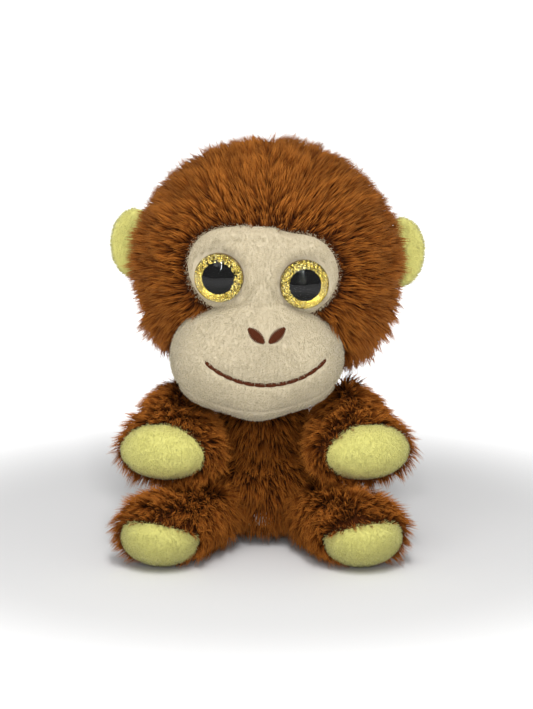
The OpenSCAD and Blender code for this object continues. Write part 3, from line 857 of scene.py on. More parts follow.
def cut_plane(piece, place, away, fill=True):
    """Cuts a piece flat and throws away what lies on the side that away points to."""
    pick(piece)
    bpy.ops.object.mode_set(mode="EDIT")
    bpy.ops.mesh.select_all(action="SELECT")
    bpy.ops.mesh.bisect(plane_co=place, plane_no=away, clear_outer=True, use_fill=fill)
    bpy.ops.object.mode_set(mode="OBJECT")
    return piece


FABRIC = 1.0 * MM


def panel(whole, name, cuts):
    """One panel of a cover: a copy, cut along its seams, with the cloth's thickness inward."""
    piece = copy_of(whole, name)
    for place, away in cuts:
        cut_plane(piece, place, away, fill=False)
    thickness = piece.modifiers.new("cloth", "SOLIDIFY")
    thickness.thickness = FABRIC
    thickness.offset = -1
    apply_all(piece)
    piece.data.materials.clear()
    piece.data.materials.append(brown_backing)
    return piece


crown = head_c
side_seam = Vector((0, side_seam_y, 0))
head_panels = {
    "head_left_panel": [(side_seam, (0, 1, 0)), (crown, (-1, 0, 0))],
    "head_right_panel": [(side_seam, (0, 1, 0)), (crown, (1, 0, 0))],
    "head_back_panel": [(side_seam, (0, -1, 0))],
}
for node, cuts in head_panels.items():
    cover = panel(head_cover, node.replace("panel", "cover"), cuts)
    finish_piece(cover, "head", [node])
print("head cover:", len(head_cover.data.vertices), "points")

# %% [markdown]
# ## The way the head is brushed
# Seen from the front, the hair runs away from the face on all sides and a little downward.
# Over the crown it lies back, and down the back of the head it hangs. It is trimmed short
# round the mask, the muzzle and the ears, and parts along the centre seam.

# %% Head pile
MASK_ROUND = 15.4 * MM
MASK_HALF = 11.7 * MM
CHEEK = Vector((16.2, 18.0, 18.0)) * MM
BRIDGE = Vector((21.0, 15.5, 14.5)) * MM
CHEEK_OUT = 14.5 * MM
CHIN = Vector((13.0, 13.0, 11.0)) * MM
CHIN_DROP = 3.8 * MM
NOSE_SHIFT = 1.5 * MM
NOSE_RISE = 11.5 * MM

eye_line = middle("left_eye_pupil") - middle("right_eye_pupil")
eye_line = Vector((eye_line.x, 0, eye_line.z)).normalized()
mask_middle = Vector((0, 0, mask_high.z - MASK_ROUND - MASK_HALF * abs(eye_line.z)))
muzzle_z = muzzle_low.z + CHIN_DROP + CHEEK.z
muzzle_balls = [
    (Vector((muzzle_c.x - CHEEK_OUT, muzzle_low.y + CHEEK.y, muzzle_z)), CHEEK),
    (Vector((muzzle_c.x + CHEEK_OUT, muzzle_low.y + CHEEK.y, muzzle_z)), CHEEK),
    (Vector((muzzle_c.x + NOSE_SHIFT, muzzle_low.y + CHEEK.y - MM, muzzle_z + NOSE_RISE)), BRIDGE),
    (Vector((muzzle_c.x, muzzle_low.y + CHEEK.y - 4 * MM, muzzle_low.z + CHIN.z)), CHIN),
]


def mask_gap(at):
    """How far outside the mask each place is, seen from the front. Inside is below zero."""
    flat = at[:, [0, 2]] - np.array([mask_middle.x, mask_middle.z])
    along = np.array([eye_line.x, eye_line.z])
    share = np.clip(flat @ along, -MASK_HALF, MASK_HALF)
    return np.linalg.norm(flat - share[:, None] * along, axis=1) - MASK_ROUND


def muzzle_gap(at):
    """The same for the muzzle."""
    gaps = [(np.hypot((at[:, 0] - c.x) / r.x, (at[:, 2] - c.z) / r.z) - 1) * min(r.x, r.z)
            for c, r in muzzle_balls]
    return np.min(gaps, axis=0)


def ear_gap(at, side):
    """How far each place is from an ear's root, and far away on the other side of the head."""
    root = Vector(joints[side + "_ear_fold"]["pos_m"])
    oval = (np.hypot((at[:, 1] - root.y) / (3.4 * MM), (at[:, 2] - root.z) / (12.5 * MM)) - 1) * 3.4 * MM
    return np.where(at[:, 0] * SIDES[side] > 30 * MM, oval, 1)


def head_brushing(mesh):
    """How long the hair is and which way it lies, for every point of the head's cover."""
    at, up = points_of(mesh), normals_of(mesh)
    front = at[:, 1] < head_c.y - 4 * MM
    gap = np.where(front, np.minimum(mask_gap(at), muzzle_gap(at)), 1)
    pile = rise(gap, -1.2 * MM, -0.2 * MM) * (0.72 + 0.28 * rise(gap, 0, 8 * MM))
    standing = 0.2 + 0.8 * rise(gap, 0, 9 * MM)
    for side in SIDES:
        near = ear_gap(at, side)
        pile *= rise(near, -0.9 * MM, 0) * (0.6 + 0.4 * rise(near, 0, 6 * MM))
        standing *= 0.3 + 0.7 * rise(near, 0, 6 * MM)
    pile *= rise(np.linalg.norm(at - np.array(neck), axis=1), 13 * MM, 20 * MM)
    sideways = at[:, 0] - head_c.x
    parting = np.exp(-(sideways / (1.6 * MM)) ** 2) * (at[:, 1] < side_seam_y)
    pile *= 1 - 0.15 * parting
    jowl = rise(np.abs(sideways), 11 * MM, 24 * MM) * rise(head_c.z - at[:, 2], 8 * MM, 23 * MM)
    pile *= 1 + 0.7 * jowl
    face_z = mask_middle.z - 8 * MM
    away = np.stack([at[:, 0] - mask_middle.x, np.zeros(len(at)), at[:, 2] - face_z], axis=1)
    away /= np.maximum(np.linalg.norm(away, axis=1, keepdims=True), 1e-6)
    forward_comb = away + np.array([0, 0.30, -0.25])
    near_parting = np.exp(-(sideways / (5 * MM)) ** 2) * (at[:, 2] > head_c.z)
    forward_comb[:, 0] += np.sign(sideways) * 0.35 * near_parting
    forward_comb += jowl[:, None] * np.array([0, 0.2, -1.0])
    back_comb = away * np.array([0.5, 0, 0]) + np.array([0, 0.15, -1.0])
    back = rise(at[:, 1], head_c.y - 2 * MM, head_c.y + 22 * MM)[:, None]
    return pile, tangent(forward_comb * (1 - back) + back_comb * back, up) * standing[:, None]


def pile_by_panel(cover, cuts_by_name, brushing, body, seed, **settings):
    """Plants each panel of a cover by itself, so that no pile gets too large."""
    pile, comb = brushing(cover.data)
    for number, (name, cuts) in enumerate(cuts_by_name.items()):
        piece = copy_of(cover, "skin_of_" + name)
        paint_points(piece, pile, comb)
        for place, away in cuts:
            cut_plane(piece, place, away, fill=False)
        part_pile = np.empty(len(piece.data.vertices))
        piece.data.attributes["pile"].data.foreach_get("value", part_pile)
        part_comb = np.empty(len(piece.data.vertices) * 3)
        piece.data.attributes["comb"].data.foreach_get("vector", part_comb)
        for extra in ("pile", "comb"):
            piece.data.attributes.remove(piece.data.attributes[extra])
        planted = plant_plush(name, piece, part_pile, part_comb.reshape(-1, 3), seed + number, **settings)
        drop(piece)
        finish_piece(planted, body)


pile_by_panel(head_cover, {
    "head_left_pile": head_panels["head_left_panel"],
    "head_right_pile": head_panels["head_right_panel"],
    "head_back_left_pile": [(side_seam, (0, -1, 0)), (crown, (-1, 0, 0))],
    "head_back_right_pile": [(side_seam, (0, -1, 0)), (crown, (1, 0, 0))],
}, head_brushing, "head", seed=10)
drop(head_cover)

# %% [markdown]
# ## Torso and neck
# The torso is a pear: a round belly and a narrower chest, sewn from a front and a back
# panel. The neck is gathered to a small furry knob between torso and head.

# %% Torso
torso_low, torso_high = box_of("torso_front_panel", "torso_back_panel")
torso_c = (torso_low + torso_high) / 2
belly_r = (torso_high.x - torso_low.x) / 2
BELLY_RISE = 17 * MM
CHEST_R = 17 * MM
TORSO_INSET = 3.6 * MM

belly = ball("belly", (torso_c.x, torso_c.y, BELLY_RISE + 1.2 * MM),
             (belly_r - TORSO_INSET, belly_r - TORSO_INSET, BELLY_RISE), segments=40)
chest = ball("chest", (torso_c.x, torso_c.y, 37 * MM), (CHEST_R - 2 * MM, CHEST_R - 2 * MM, 17 * MM),
             segments=40)
torso_cover = joined("torso_cover", [belly, chest])
remesh(torso_cover, 2.4 * MM)
relax = torso_cover.modifiers.new("relax", "SMOOTH")
relax.iterations = 8
apply_all(torso_cover)
at = points_of(torso_cover.data)
stuff(torso_cover, cap=1.2 * MM, held=seam_share(at[:, 1] - torso_c.y))
subdivide(torso_cover)
smooth(torso_cover)

torso_middle = Vector((0, torso_c.y, 0))
torso_panels = {"torso_front": [(torso_middle, (0, 1, 0))], "torso_back": [(torso_middle, (0, -1, 0))]}
for name, cuts in torso_panels.items():
    cover = panel(torso_cover, name + "_cover", cuts)
    finish_piece(cover, "torso", [name + "_panel"])


def torso_brushing(mesh):
    at, up = points_of(mesh), normals_of(mesh)
    pile = rise(at[:, 2], 1.5 * MM, 9 * MM)
    pile *= rise(np.linalg.norm(at - np.array(neck), axis=1), 9 * MM, 14 * MM)
    for side in SIDES:
        for joint, clear in ((side + "_arm_swing", 10 * MM), (side + "_leg_splay", 10 * MM)):
            root = np.array(joints[joint]["pos_m"])
            pile *= rise(np.linalg.norm(at - root, axis=1), clear, clear + 3 * MM)
    outward = at - np.array([torso_c.x, torso_c.y, 0])
    outward[:, 2] = 0
    outward /= np.maximum(np.linalg.norm(outward, axis=1, keepdims=True), 1e-6)
    return pile, tangent(outward * 0.2 + np.array([0, 0, -1.0]), up)


torso_piles = {name + "_pile": cuts for name, cuts in torso_panels.items()}
pile_by_panel(torso_cover, torso_piles, torso_brushing, "torso", seed=20, length=7.5 * MM)
drop(torso_cover)

neck_knob = ball("neck_knob", neck, (9 * MM, 9 * MM, 9 * MM), segments=24)
smooth(neck_knob)
knob_at = points_of(neck_knob.data)
knob_comb = tangent(np.tile([0.0, 0.0, -1.0], (len(knob_at), 1)), normals_of(neck_knob.data))
knob_pile = plant_plush("neck_pile", neck_knob, np.full(len(knob_at), 0.8), knob_comb, 30, length=4.5 * MM)
neck_knob.data.materials.append(brown_backing)
finish_piece(neck_knob, "neck", ["neck_gather"])
finish_piece(knob_pile, "neck")

# %% [markdown]
# ## Arms and legs
# Each limb is the same kind of bag: a small ball at the joint and a large one at the hand
# or foot, wrapped in one skin. An oval pad of yellow-green velour is let into the tip: over
# the palm, and under and in front of the foot. The plush round it is brushed towards it.

# %% Limb shapes
LIMBS = {
    "arm": {
        "joint": "_arm_swing", "yaw": {"left": 9, "right": 6}, "length": 30 * MM, "root": 11.4 * MM,
        "tip": Vector((19.5, 13.5, 12.3)) * MM, "drop": -8 * MM, "pad": "palm", "pad_yaw": 8,
        "pad_out": 3.4 * MM, "pad_rise": 0.4 * MM, "pad_size": (16.0 * MM, 9.2 * MM),
        "pad_from": 1.5 * MM, "pad_turn": 4},
    "leg": {
        "joint": "_leg_splay", "yaw": {"left": 33, "right": 36}, "length": 25 * MM, "root": 11.8 * MM,
        "tip": Vector((16.5, 16.5, 12.7)) * MM, "drop": 0, "pad": "sole", "pad_yaw": 4,
        "pad_out": 0.7 * MM, "pad_rise": -4.0 * MM, "pad_size": (15.2 * MM, 9.0 * MM),
        "pad_from": 2.5 * MM, "pad_turn": 9},
}
LIMB_INSET = 2.9 * MM
PAD_THICKNESS = 1.4 * MM


def place_limb(piece, limb, side):
    """Turns a piece from the limb's own frame, with the tip along -Y, to its place on the toy."""
    piece.rotation_euler = (0, 0, math.radians(SIDES[side] * limb["yaw"][side]))
    piece.location = Vector(joints[side + limb["joint"]]["pos_m"])
    settle(piece)
    return piece


def tip_of(limb, side):
    """The middle of the hand or foot."""
    turn = Matrix.Rotation(math.radians(SIDES[side] * limb["yaw"][side]), 3, "Z")
    return Vector(joints[side + limb["joint"]]["pos_m"]) + turn @ Vector((0, -limb["length"], limb["drop"]))


def wrapped(name, pieces):
    """One convex skin round several forms."""
    whole = joined(name, pieces)
    pick(whole)
    bpy.ops.object.mode_set(mode="EDIT")
    bpy.ops.mesh.select_all(action="SELECT")
    bpy.ops.mesh.convex_hull()
    bpy.ops.object.mode_set(mode="OBJECT")
    return whole


def boolean(piece, cutter, operation):
    modifier = piece.modifiers.new("cut", "BOOLEAN")
    modifier.operation = operation
    modifier.object = cutter
    modifier.solver = "EXACT"
    apply_all(piece)
    return piece


def shell_of(piece, name, thickness):
    shell = copy_of(piece, name)
    cloth = shell.modifiers.new("cloth", "SOLIDIFY")
    cloth.thickness = thickness
    cloth.offset = -1
    apply_all(shell)
    return shell


def pad_place(at, limb, side):
    """How far outside the pad's oval each place is. Inside is below zero."""
    turned = Matrix.Rotation(-math.radians(SIDES[side] * limb["pad_yaw"]), 3, "Z")
    local = (at - np.array(tip_of(limb, side))) @ np.array(turned).T
    across = local[:, 0] - SIDES[side] * limb["pad_out"]
    up = local[:, 2] - limb["pad_rise"]
    tilt = math.radians(SIDES[side] * limb["pad_turn"])
    across, up = across * math.cos(tilt) + up * math.sin(tilt), up * math.cos(tilt) - across * math.sin(tilt)
    wide, tall = limb["pad_size"]
    edge = (np.hypot(across / wide, up / tall) - 1) * min(wide, tall)
    return np.where(-local[:, 1] > limb["pad_from"], edge, 1)


def limb_brushing(limb, side):
    def brushing(mesh):
        at, up = points_of(mesh), normals_of(mesh)
        edge = pad_place(at, limb, side)
        pile = rise(edge, -0.6 * MM, 0.3 * MM) * (0.62 + 0.38 * rise(edge, 0, 7 * MM))
        standing = 0.3 + 0.7 * rise(edge, 0, 7 * MM)
        inside = np.hypot(at[:, 0] - torso_c.x, at[:, 1] - torso_c.y)
        pile *= rise(inside, 15 * MM, 19 * MM)
        pile *= 0.35 + 0.65 * rise(at[:, 2], 1.5 * MM, 6 * MM)
        pile *= 0.5 + 0.5 * rise(muzzle_gap(at), 0, 8 * MM)
        turn = Matrix.Rotation(math.radians(SIDES[side] * limb["yaw"][side]), 3, "Z")
        tip = np.array(turn @ Vector((0, -1, 0)))
        outward = at - np.array(joints[side + limb["joint"]]["pos_m"]) - tip * 0.7 * limb["length"]
        outward /= np.maximum(np.linalg.norm(outward, axis=1, keepdims=True), 1e-6)
        return pile, tangent(tip * 0.7 + outward * 0.6 + np.array([0, 0, -0.45]), up) * standing[:, None]
    return brushing


for kind, limb in LIMBS.items():
    for side, sign in SIDES.items():
        name = f"{side}_{kind}"
        root = ball("root", (0, 0, 0), [limb["root"] - LIMB_INSET] * 3)
        tip = ball("tip", (0, -limb["length"], limb["drop"]), inset_radii(limb["tip"], LIMB_INSET),
                   segments=48)
        bag = place_limb(wrapped(name + "_bag", [root, tip]), limb, side)
        remesh(bag, 1.9 * MM)
        edge = pad_place(points_of(bag.data), limb, side)
        stuff(bag, cap=1.0 * MM, held=seam_share(edge, 1.6 * MM))
        subdivide(bag)
        smooth(bag)
        wide, tall = limb["pad_size"]
        bpy.ops.mesh.primitive_cylinder_add(vertices=64, radius=1, depth=1)
        cutter = bpy.context.object
        cutter.scale = (wide, tall, 30 * MM)
        settle(cutter)
        cutter.rotation_euler = (math.radians(90), -math.radians(sign * limb["pad_turn"]), 0)
        cutter.location = (sign * limb["pad_out"], -limb["pad_from"] - 15 * MM, limb["pad_rise"])
        settle(cutter)
        cutter.rotation_euler = (0, 0, math.radians(sign * limb["pad_yaw"]))
        cutter.location = tip_of(limb, side)
        settle(cutter)

        sleeve = boolean(shell_of(bag, name + "_sleeve_cover", FABRIC), cutter, "DIFFERENCE")
        sleeve.data.materials.append(brown_backing)
        finish_piece(sleeve, name, [name + "_sleeve"])
        planted = plant_plush(name + "_pile", bag, *limb_brushing(limb, side)(bag.data), seed=40 + 7 * sign,
                              length=7.8 * MM)
        finish_piece(planted, name)

        pad = boolean(shell_of(bag, f"{name}_{limb['pad']}_pad", PAD_THICKNESS), cutter, "INTERSECT")
        remesh(pad, 0.75 * MM)
        edge = pad_place(points_of(pad.data), limb, side)
        puff = 1.3 * MM * rise(-edge, 0, 3.2 * MM) + 0.25 * MM
        move_points(pad.data, points_of(pad.data) + normals_of(pad.data) * puff[:, None])
        at = points_of(pad.data)
        at[:, 2] = np.maximum(at[:, 2], 0.3 * MM)
        move_points(pad.data, at)
        smooth(pad)
        fuzz_up = tangent(np.tile([0.0, 0.0, -1.0], (len(at), 1)), normals_of(pad.data))
        fuzz = plant_velour(pad.name + "_nap", pad, np.ones(len(at)), fuzz_up, green_pile, 60 + 7 * sign)
        pad.data.materials.append(green_cloth)
        finish_piece(pad, name, [f"{name}_{limb['pad']}"])
        finish_piece(fuzz, name)
        drop(cutter)
        drop(bag)

# %% [markdown]
# ## The face mask
# The mask is a shallow padded piece of cream velour between the brow and the muzzle. It is
# cut out of a shell that follows the head, puffed between its edges, and drawn in round the
# eyes and along a soft crease across the forehead.

# %% Face mask
MASK_THICKNESS = 1.6 * MM
mask_ball = ball("mask_ball", head_c, inset_radii(head_r, 3.2 * MM), segments=64)
mask_shell = shell_of(mask_ball, "face_mask_pad", MASK_THICKNESS)
drop(mask_ball)
bpy.ops.mesh.primitive_cylinder_add(vertices=48, radius=MASK_ROUND, depth=60 * MM)
first_lobe = bpy.context.object
first_lobe.rotation_euler = (math.radians(90), 0, 0)
first_lobe.location = mask_middle - eye_line * MASK_HALF + Vector((0, head_c.y - 50 * MM, 0))
settle(first_lobe)
second_lobe = copy_of(first_lobe, "second_lobe")
second_lobe.location = eye_line * 2 * MASK_HALF
settle(second_lobe)
mask_cutter = wrapped("mask_cutter", [first_lobe, second_lobe])
boolean(mask_shell, mask_cutter, "INTERSECT")
remesh(mask_shell, 0.9 * MM)
drop(mask_cutter)

eye_centres = {side: middle(side + "_eye_pupil") for side in SIDES}
EYE_RADIUS = (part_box("left_eye_dome")[1].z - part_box("left_eye_dome")[0].z) / 2


def eye_distance(at):
    """How far outside the rim of the nearer eye each place is, seen from the front."""
    reach = [np.hypot(at[:, 0] - c.x, at[:, 2] - c.z) for c in eye_centres.values()]
    return np.min(reach, axis=0) - EYE_RADIUS


def puff_out(piece, amount):
    move_points(piece.data, points_of(piece.data) + normals_of(piece.data) * amount[:, None])


at = points_of(mask_shell.data)
edge = -mask_gap(at)
brow = at[:, 2] - (mask_middle.z + 11.0 * MM) - (at[:, 0] ** 2) * -6.0
crease = np.exp(-(brow / (0.9 * MM)) ** 2) * (np.abs(at[:, 0]) < 16 * MM)
bridge = np.exp(-((at[:, 0] - muzzle_c.x) / (7 * MM)) ** 2)
puff = 1.7 * MM * rise(edge, 0, 4 * MM) * (0.35 + 0.65 * rise(eye_distance(at), -1 * MM, 3.5 * MM))
puff += 1.0 * MM * bridge - 0.55 * MM * crease
outer_face = rise(-normals_of(mask_shell.data)[:, 1], 0, 0.3)
puff_out(mask_shell, puff * outer_face)
smooth(mask_shell)
at = points_of(mask_shell.data)
nap = rise(eye_distance(at), 0.2 * MM, 0.8 * MM) * outer_face
away = tangent(at - np.array(mask_middle) + np.array([0, 0, -0.01]), normals_of(mask_shell.data))
mask_nap = plant_velour("face_mask_nap", mask_shell, nap, away, cream_pile, 80)
mask_shell.data.materials.clear()
mask_shell.data.materials.append(cream_cloth)
finish_piece(mask_shell, "head", ["face_mask"])
finish_piece(mask_nap, "head")

# %% [markdown]
# ## The muzzle
# Two cheeks and the bridge of the nose are wrapped in one skin of cream velour and stuffed
# hard. The stuffing is held down where the toy is stitched: along the smile, at the nostrils
# and along the seam over the chin. The seam is then pressed in as a fine groove.

# %% Muzzle
MUZZLE_INSET = 1.1 * MM
CHIN_SEAM_RISE = 5.3 * MM
CHIN_SEAM_R = 50 * MM
smile_low, smile_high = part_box("mouth_stitches")
nostril_low, nostril_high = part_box("nostril_stitches")
THREAD_D = 1.4 * MM
smile_x = (smile_low.x + smile_high.x) / 2
smile_wide = (smile_high.x - smile_low.x - THREAD_D) / 2
smile_end_z = smile_high.z - THREAD_D / 2
smile_sag = smile_end_z - smile_low.z - THREAD_D / 2
smile_r = (smile_wide ** 2 + smile_sag ** 2) / (2 * smile_sag)
smile_centre = Vector((smile_x, 0, smile_end_z - smile_sag + smile_r))


def smile_distance(at):
    """How far each place on the muzzle is from the line of the smile."""
    across, up = at[:, 0] - smile_centre.x, at[:, 2] - smile_centre.z
    ring = np.abs(np.hypot(across, up) - smile_r)
    beyond = np.maximum(np.abs(across) - smile_wide, 0)
    return np.where(up < 0, np.hypot(ring, beyond), 1)


def chin_seam_offset(at):
    """Above the chin seam is above zero."""
    seam_centre_z = muzzle_low.z + CHIN_SEAM_RISE + CHIN_SEAM_R
    return CHIN_SEAM_R - np.hypot(at[:, 0] - muzzle_c.x, at[:, 2] - seam_centre_z)


LEAF_LONG = 7.0 * MM
LEAF_WIDE = 3.2 * MM
LEAF_OUT = 3.5 * MM
LEAF_LEAN = math.radians(50)
nose_tip = (nostril_low + nostril_high) / 2
muzzle_skin = wrapped("muzzle_skin", [
    ball(f"form_{number}", centre, inset_radii(radii, MUZZLE_INSET), segments=56)
    for number, (centre, radii) in enumerate(muzzle_balls)])
ridge = ball("nose_ridge", (muzzle_c.x + NOSE_SHIFT, muzzle_low.y + CHEEK.y - 3 * MM, mask_middle.z - 7 * MM),
             (8.5 * MM, 10 * MM, 15 * MM), segments=40)
muzzle_skin = joined("muzzle_skin", [muzzle_skin, ridge])
remesh(muzzle_skin, 1.5 * MM)
relax = muzzle_skin.modifiers.new("relax", "SMOOTH")
relax.iterations = 5
apply_all(muzzle_skin)
at = points_of(muzzle_skin.data)
front = rise(-normals_of(muzzle_skin.data)[:, 1], 0.0, 0.3)
held = 0.9 * np.exp(-(smile_distance(at) / (2.0 * MM)) ** 2) * front
held = np.maximum(held, seam_share(chin_seam_offset(at), 1.4 * MM))
beside_nose = np.hypot(np.abs(at[:, 0] - nose_tip.x) - 8.5 * MM, (at[:, 2] - nose_tip.z) * 0.6)
held = np.maximum(held, 0.7 * np.exp(-(beside_nose / (2.5 * MM)) ** 2) * front)
stuff(muzzle_skin, cap=1.3 * MM, held=held)
subdivide(muzzle_skin, 1)

at = points_of(muzzle_skin.data)
front = rise(-normals_of(muzzle_skin.data)[:, 1], 0.0, 0.3)
groove = 0.55 * MM * np.exp(-(chin_seam_offset(at) / (0.7 * MM)) ** 2)
groove += 0.50 * MM * np.exp(-(smile_distance(at) / (1.1 * MM)) ** 2) * front
from_nose = np.hypot(at[:, 0] - nose_tip.x, (at[:, 2] - nose_tip.z) * 1.2)
nose_bump = 2.0 * MM * np.exp(-(from_nose / (6.5 * MM)) ** 2) * front
puff_out(muzzle_skin, nose_bump - groove)
smooth(muzzle_skin)
muzzle_skin.name = "muzzle_cover"

at = points_of(muzzle_skin.data)
nap = rise(smile_distance(at), 0.35 * MM, 0.9 * MM) * rise(np.abs(chin_seam_offset(at)), 0.15 * MM, 0.6 * MM)
for sign in SIDES.values():
    across, up = at[:, 0] - nose_tip.x - sign * LEAF_OUT, at[:, 2] - nose_tip.z
    along = across * sign * math.sin(LEAF_LEAN) + up * math.cos(LEAF_LEAN)
    beside = across * math.cos(LEAF_LEAN) - up * sign * math.sin(LEAF_LEAN)
    nap *= rise(np.hypot(along / (LEAF_LONG / 2), beside / (LEAF_WIDE / 2 + 0.4 * MM)), 0.8, 1.1)
nap *= rise(head_c.y - head_r.y + 22 * MM - at[:, 1], 0, 2 * MM)
down = np.tile([0.0, 0.0, -1.0], (len(at), 1)) + (at - np.array(nose_tip)) * np.array([40.0, 0, 25.0])
muzzle_nap = plant_velour("muzzle_nap", muzzle_skin, np.maximum(nap, 0.0),
                          tangent(down, normals_of(muzzle_skin.data)), cream_pile, 81)

bpy.ops.mesh.primitive_cylinder_add(vertices=128, radius=CHIN_SEAM_R, depth=120 * MM)
seam_cutter = bpy.context.object
seam_cutter.rotation_euler = (math.radians(90), 0, 0)
seam_cutter.location = (muzzle_c.x, muzzle_c.y, muzzle_low.z + CHIN_SEAM_RISE + CHIN_SEAM_R)
settle(seam_cutter)
chin = boolean(copy_of(muzzle_skin, "muzzle_chin_cover"), seam_cutter, "DIFFERENCE")
upper = boolean(copy_of(muzzle_skin, "muzzle_upper_cover"), seam_cutter, "INTERSECT")
drop(seam_cutter)
for piece, node in ((upper, "muzzle_upper"), (chin, "muzzle_chin")):
    piece.data.materials.clear()
    piece.data.materials.append(cream_cloth)
    smooth(piece)
    finish_piece(piece, "head", [node])
finish_piece(muzzle_nap, "head")

# %% [markdown]
# ## Embroidery
# The smile is a row of backstitches, each a short fat thread that dips at both ends. The
# nostrils are two leaves filled with satin stitch: threads laid side by side across the leaf.

# %% Embroidery
muzzle_tree = BVHTree.FromObject(muzzle_skin, bpy.context.evaluated_depsgraph_get())


def on_muzzle(x, z):
    """The muzzle's surface at a place seen from the front, and its normal."""
    place, normal, _, _ = muzzle_tree.ray_cast(Vector((x, -0.2, z)), Vector((0, 1, 0)))
    return place, normal


def stitch(name, first, second, width, lift):
    """One thread laid on the muzzle from the first place to the second."""
    start, normal_1 = on_muzzle(*first)
    end, normal_2 = on_muzzle(*second)
    normal = (normal_1 + normal_2).normalized()
    along = end - start
    piece = ball(name, (0, 0, 0), (along.length / 2 + width * 0.3, width / 2, width / 2), segments=12)
    across = normal.cross(along).normalized()
    turn = Matrix((along.normalized(), across, along.normalized().cross(across))).transposed()
    piece.matrix_world = Matrix.Translation((start + end) / 2 + normal * lift) @ turn.to_4x4()
    settle(piece)
    return piece


BACKSTITCHES = 12
smile_turn = math.asin(smile_wide / smile_r)


def smile_point(share):
    angle = smile_turn * (2 * share - 1)
    return smile_centre.x + smile_r * math.sin(angle), smile_centre.z - smile_r * math.cos(angle)


threads = []
for number in range(BACKSTITCHES):
    first, second = smile_point((number + 0.04) / BACKSTITCHES), smile_point((number + 1.0) / BACKSTITCHES)
    for strand in (-0.22, 0.22):
        shift = strand * THREAD_D
        threads.append(stitch("thread", (first[0], first[1] + shift), (second[0], second[1] + shift),
                              THREAD_D * 0.72, 0.12 * MM))
smile = joined("smile", threads)
smooth(smile)
smile.data.materials.append(thread)
finish_piece(smile, "head", ["mouth_stitches"])

SATIN = 13
threads = []
for sign in SIDES.values():
    centre = Vector((nose_tip.x + sign * LEAF_OUT, nose_tip.z))
    long_way = Vector((sign * math.sin(LEAF_LEAN), math.cos(LEAF_LEAN)))
    wide_way = Vector((long_way.y, -long_way.x))
    for number in range(SATIN):
        t = (number + 0.5) / SATIN * 2 - 1
        half = LEAF_WIDE / 2 * (1 - t * t) + 0.3 * MM
        place = centre + long_way * (t * LEAF_LONG / 2)
        first, second = place - wide_way * half, place + wide_way * half
        threads.append(stitch("thread", first, second, LEAF_LONG / SATIN * 1.35, 0.10 * MM))
nostrils = joined("nostrils", threads)
smooth(nostrils)
nostrils.data.materials.append(thread)
finish_piece(nostrils, "head", ["nostril_stitches"])
drop(muzzle_skin)

# %% [markdown]
# ## Ears
# Each ear is a flat bag of yellow-green velour with a front and a back panel, sewn round the
# rim. The front panel is drawn in a little, so a soft lip stands round its hollow.

# %% Ears
EAR = Vector((9.0, 3.5, 13.0)) * MM
ear_up = Vector(joints["left_ear_fold"]["axis"])
head_roll = math.atan2(ear_up.x, ear_up.z)

for side, sign in SIDES.items():
    form = ball("ear_form", (0, 0, 0), EAR - Vector((0.7, 0.6, 0.7)) * MM, segments=48)
    remesh(form, 0.7 * MM)
    at = points_of(form.data)
    rim = np.hypot(at[:, 0] / EAR.x, at[:, 2] / EAR.z)
    hollow = 1.5 * MM * np.exp(-((rim - 0.30) / 0.36) ** 2) * (at[:, 1] < 0)
    lip = 0.5 * MM * np.exp(-((rim - 0.86) / 0.14) ** 2)
    at[:, 1] += hollow
    at += normals_of(form.data) * (lip * rise(1 - rim, 0.02, 0.10))[:, None]
    move_points(form.data, at)
    cut_plane(form, (-2.6 * MM, 0, 0), (-1, 0, 0))
    smooth(form)
    place = Vector(joints[side + "_ear_fold"]["pos_m"])
    for half, away in (("front", (0, 1, 0)), ("back", (0, -1, 0))):
        ear = copy_of(form, f"{side}_ear_{half}_pad")
        cut_plane(ear, (0, 0.1 * MM, 0), away)
        if sign < 0:
            mirror_at = points_of(ear.data) * np.array([-1.0, 1.0, 1.0])
            move_points(ear.data, mirror_at)
            ear.data.flip_normals()
        ear.rotation_euler = (0, head_roll, 0)
        ear.location = place
        settle(ear)
        at = points_of(ear.data)
        facing = normals_of(ear.data)
        outward = tangent(np.tile([sign * 1.0, 0.0, 0.3], (len(at), 1)), facing)
        nap = rise((at[:, 0] - place.x) * sign, -1.5 * MM, 0)
        fuzz = plant_velour(f"{side}_ear_{half}_nap", ear, nap, outward, green_pile, 90 + sign)
        ear.data.materials.clear()
        ear.data.materials.append(green_cloth)
        finish_piece(ear, side + "_ear", [f"{side}_ear_{half}"])
        finish_piece(fuzz, side + "_ear")
    drop(form)

# %% [markdown]
# ## Eyes
# An eye is a clear dome over a ring of glitter and a black pupil. The ring is a gold disc
# strewn with small six-sided flakes, tilted every way, so each catches a light of its own: one
# handful is made, and copies of it are turned about the pupil. The back plate, the post and
# the washer behind the cloth keep their measured shape.

# %% Eyes
FLAKES = 240
HANDFULS = 8
HANDFUL_TURN = 2.4


def eye_frame(side):
    """The eye's middle on top of the pupil and the turn that makes +Z look out of the face."""
    out = (middle(side + "_eye_pupil") - middle(side + "_eye_washer")).normalized()
    across = Vector((0, 0, 1)).cross(out).normalized()
    turn = Matrix((across, out.cross(across), out)).transposed()
    return middle(side + "_eye_pupil") + out * DISC_THICK / 2, turn


DISC_THICK = 0.6 * MM
pupil_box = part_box("left_eye_pupil")
PUPIL_RADIUS = (pupil_box[1].z - pupil_box[0].z) / 2
DOME_HEIGHT = 5.0 * MM
DOME_BALL = (EYE_RADIUS ** 2 + DOME_HEIGHT ** 2) / (2 * DOME_HEIGHT)


def place_eye_piece(piece, side):
    centre, turn = eye_frame(side)
    piece.matrix_world = Matrix.Translation(centre) @ turn.to_4x4()
    settle(piece)


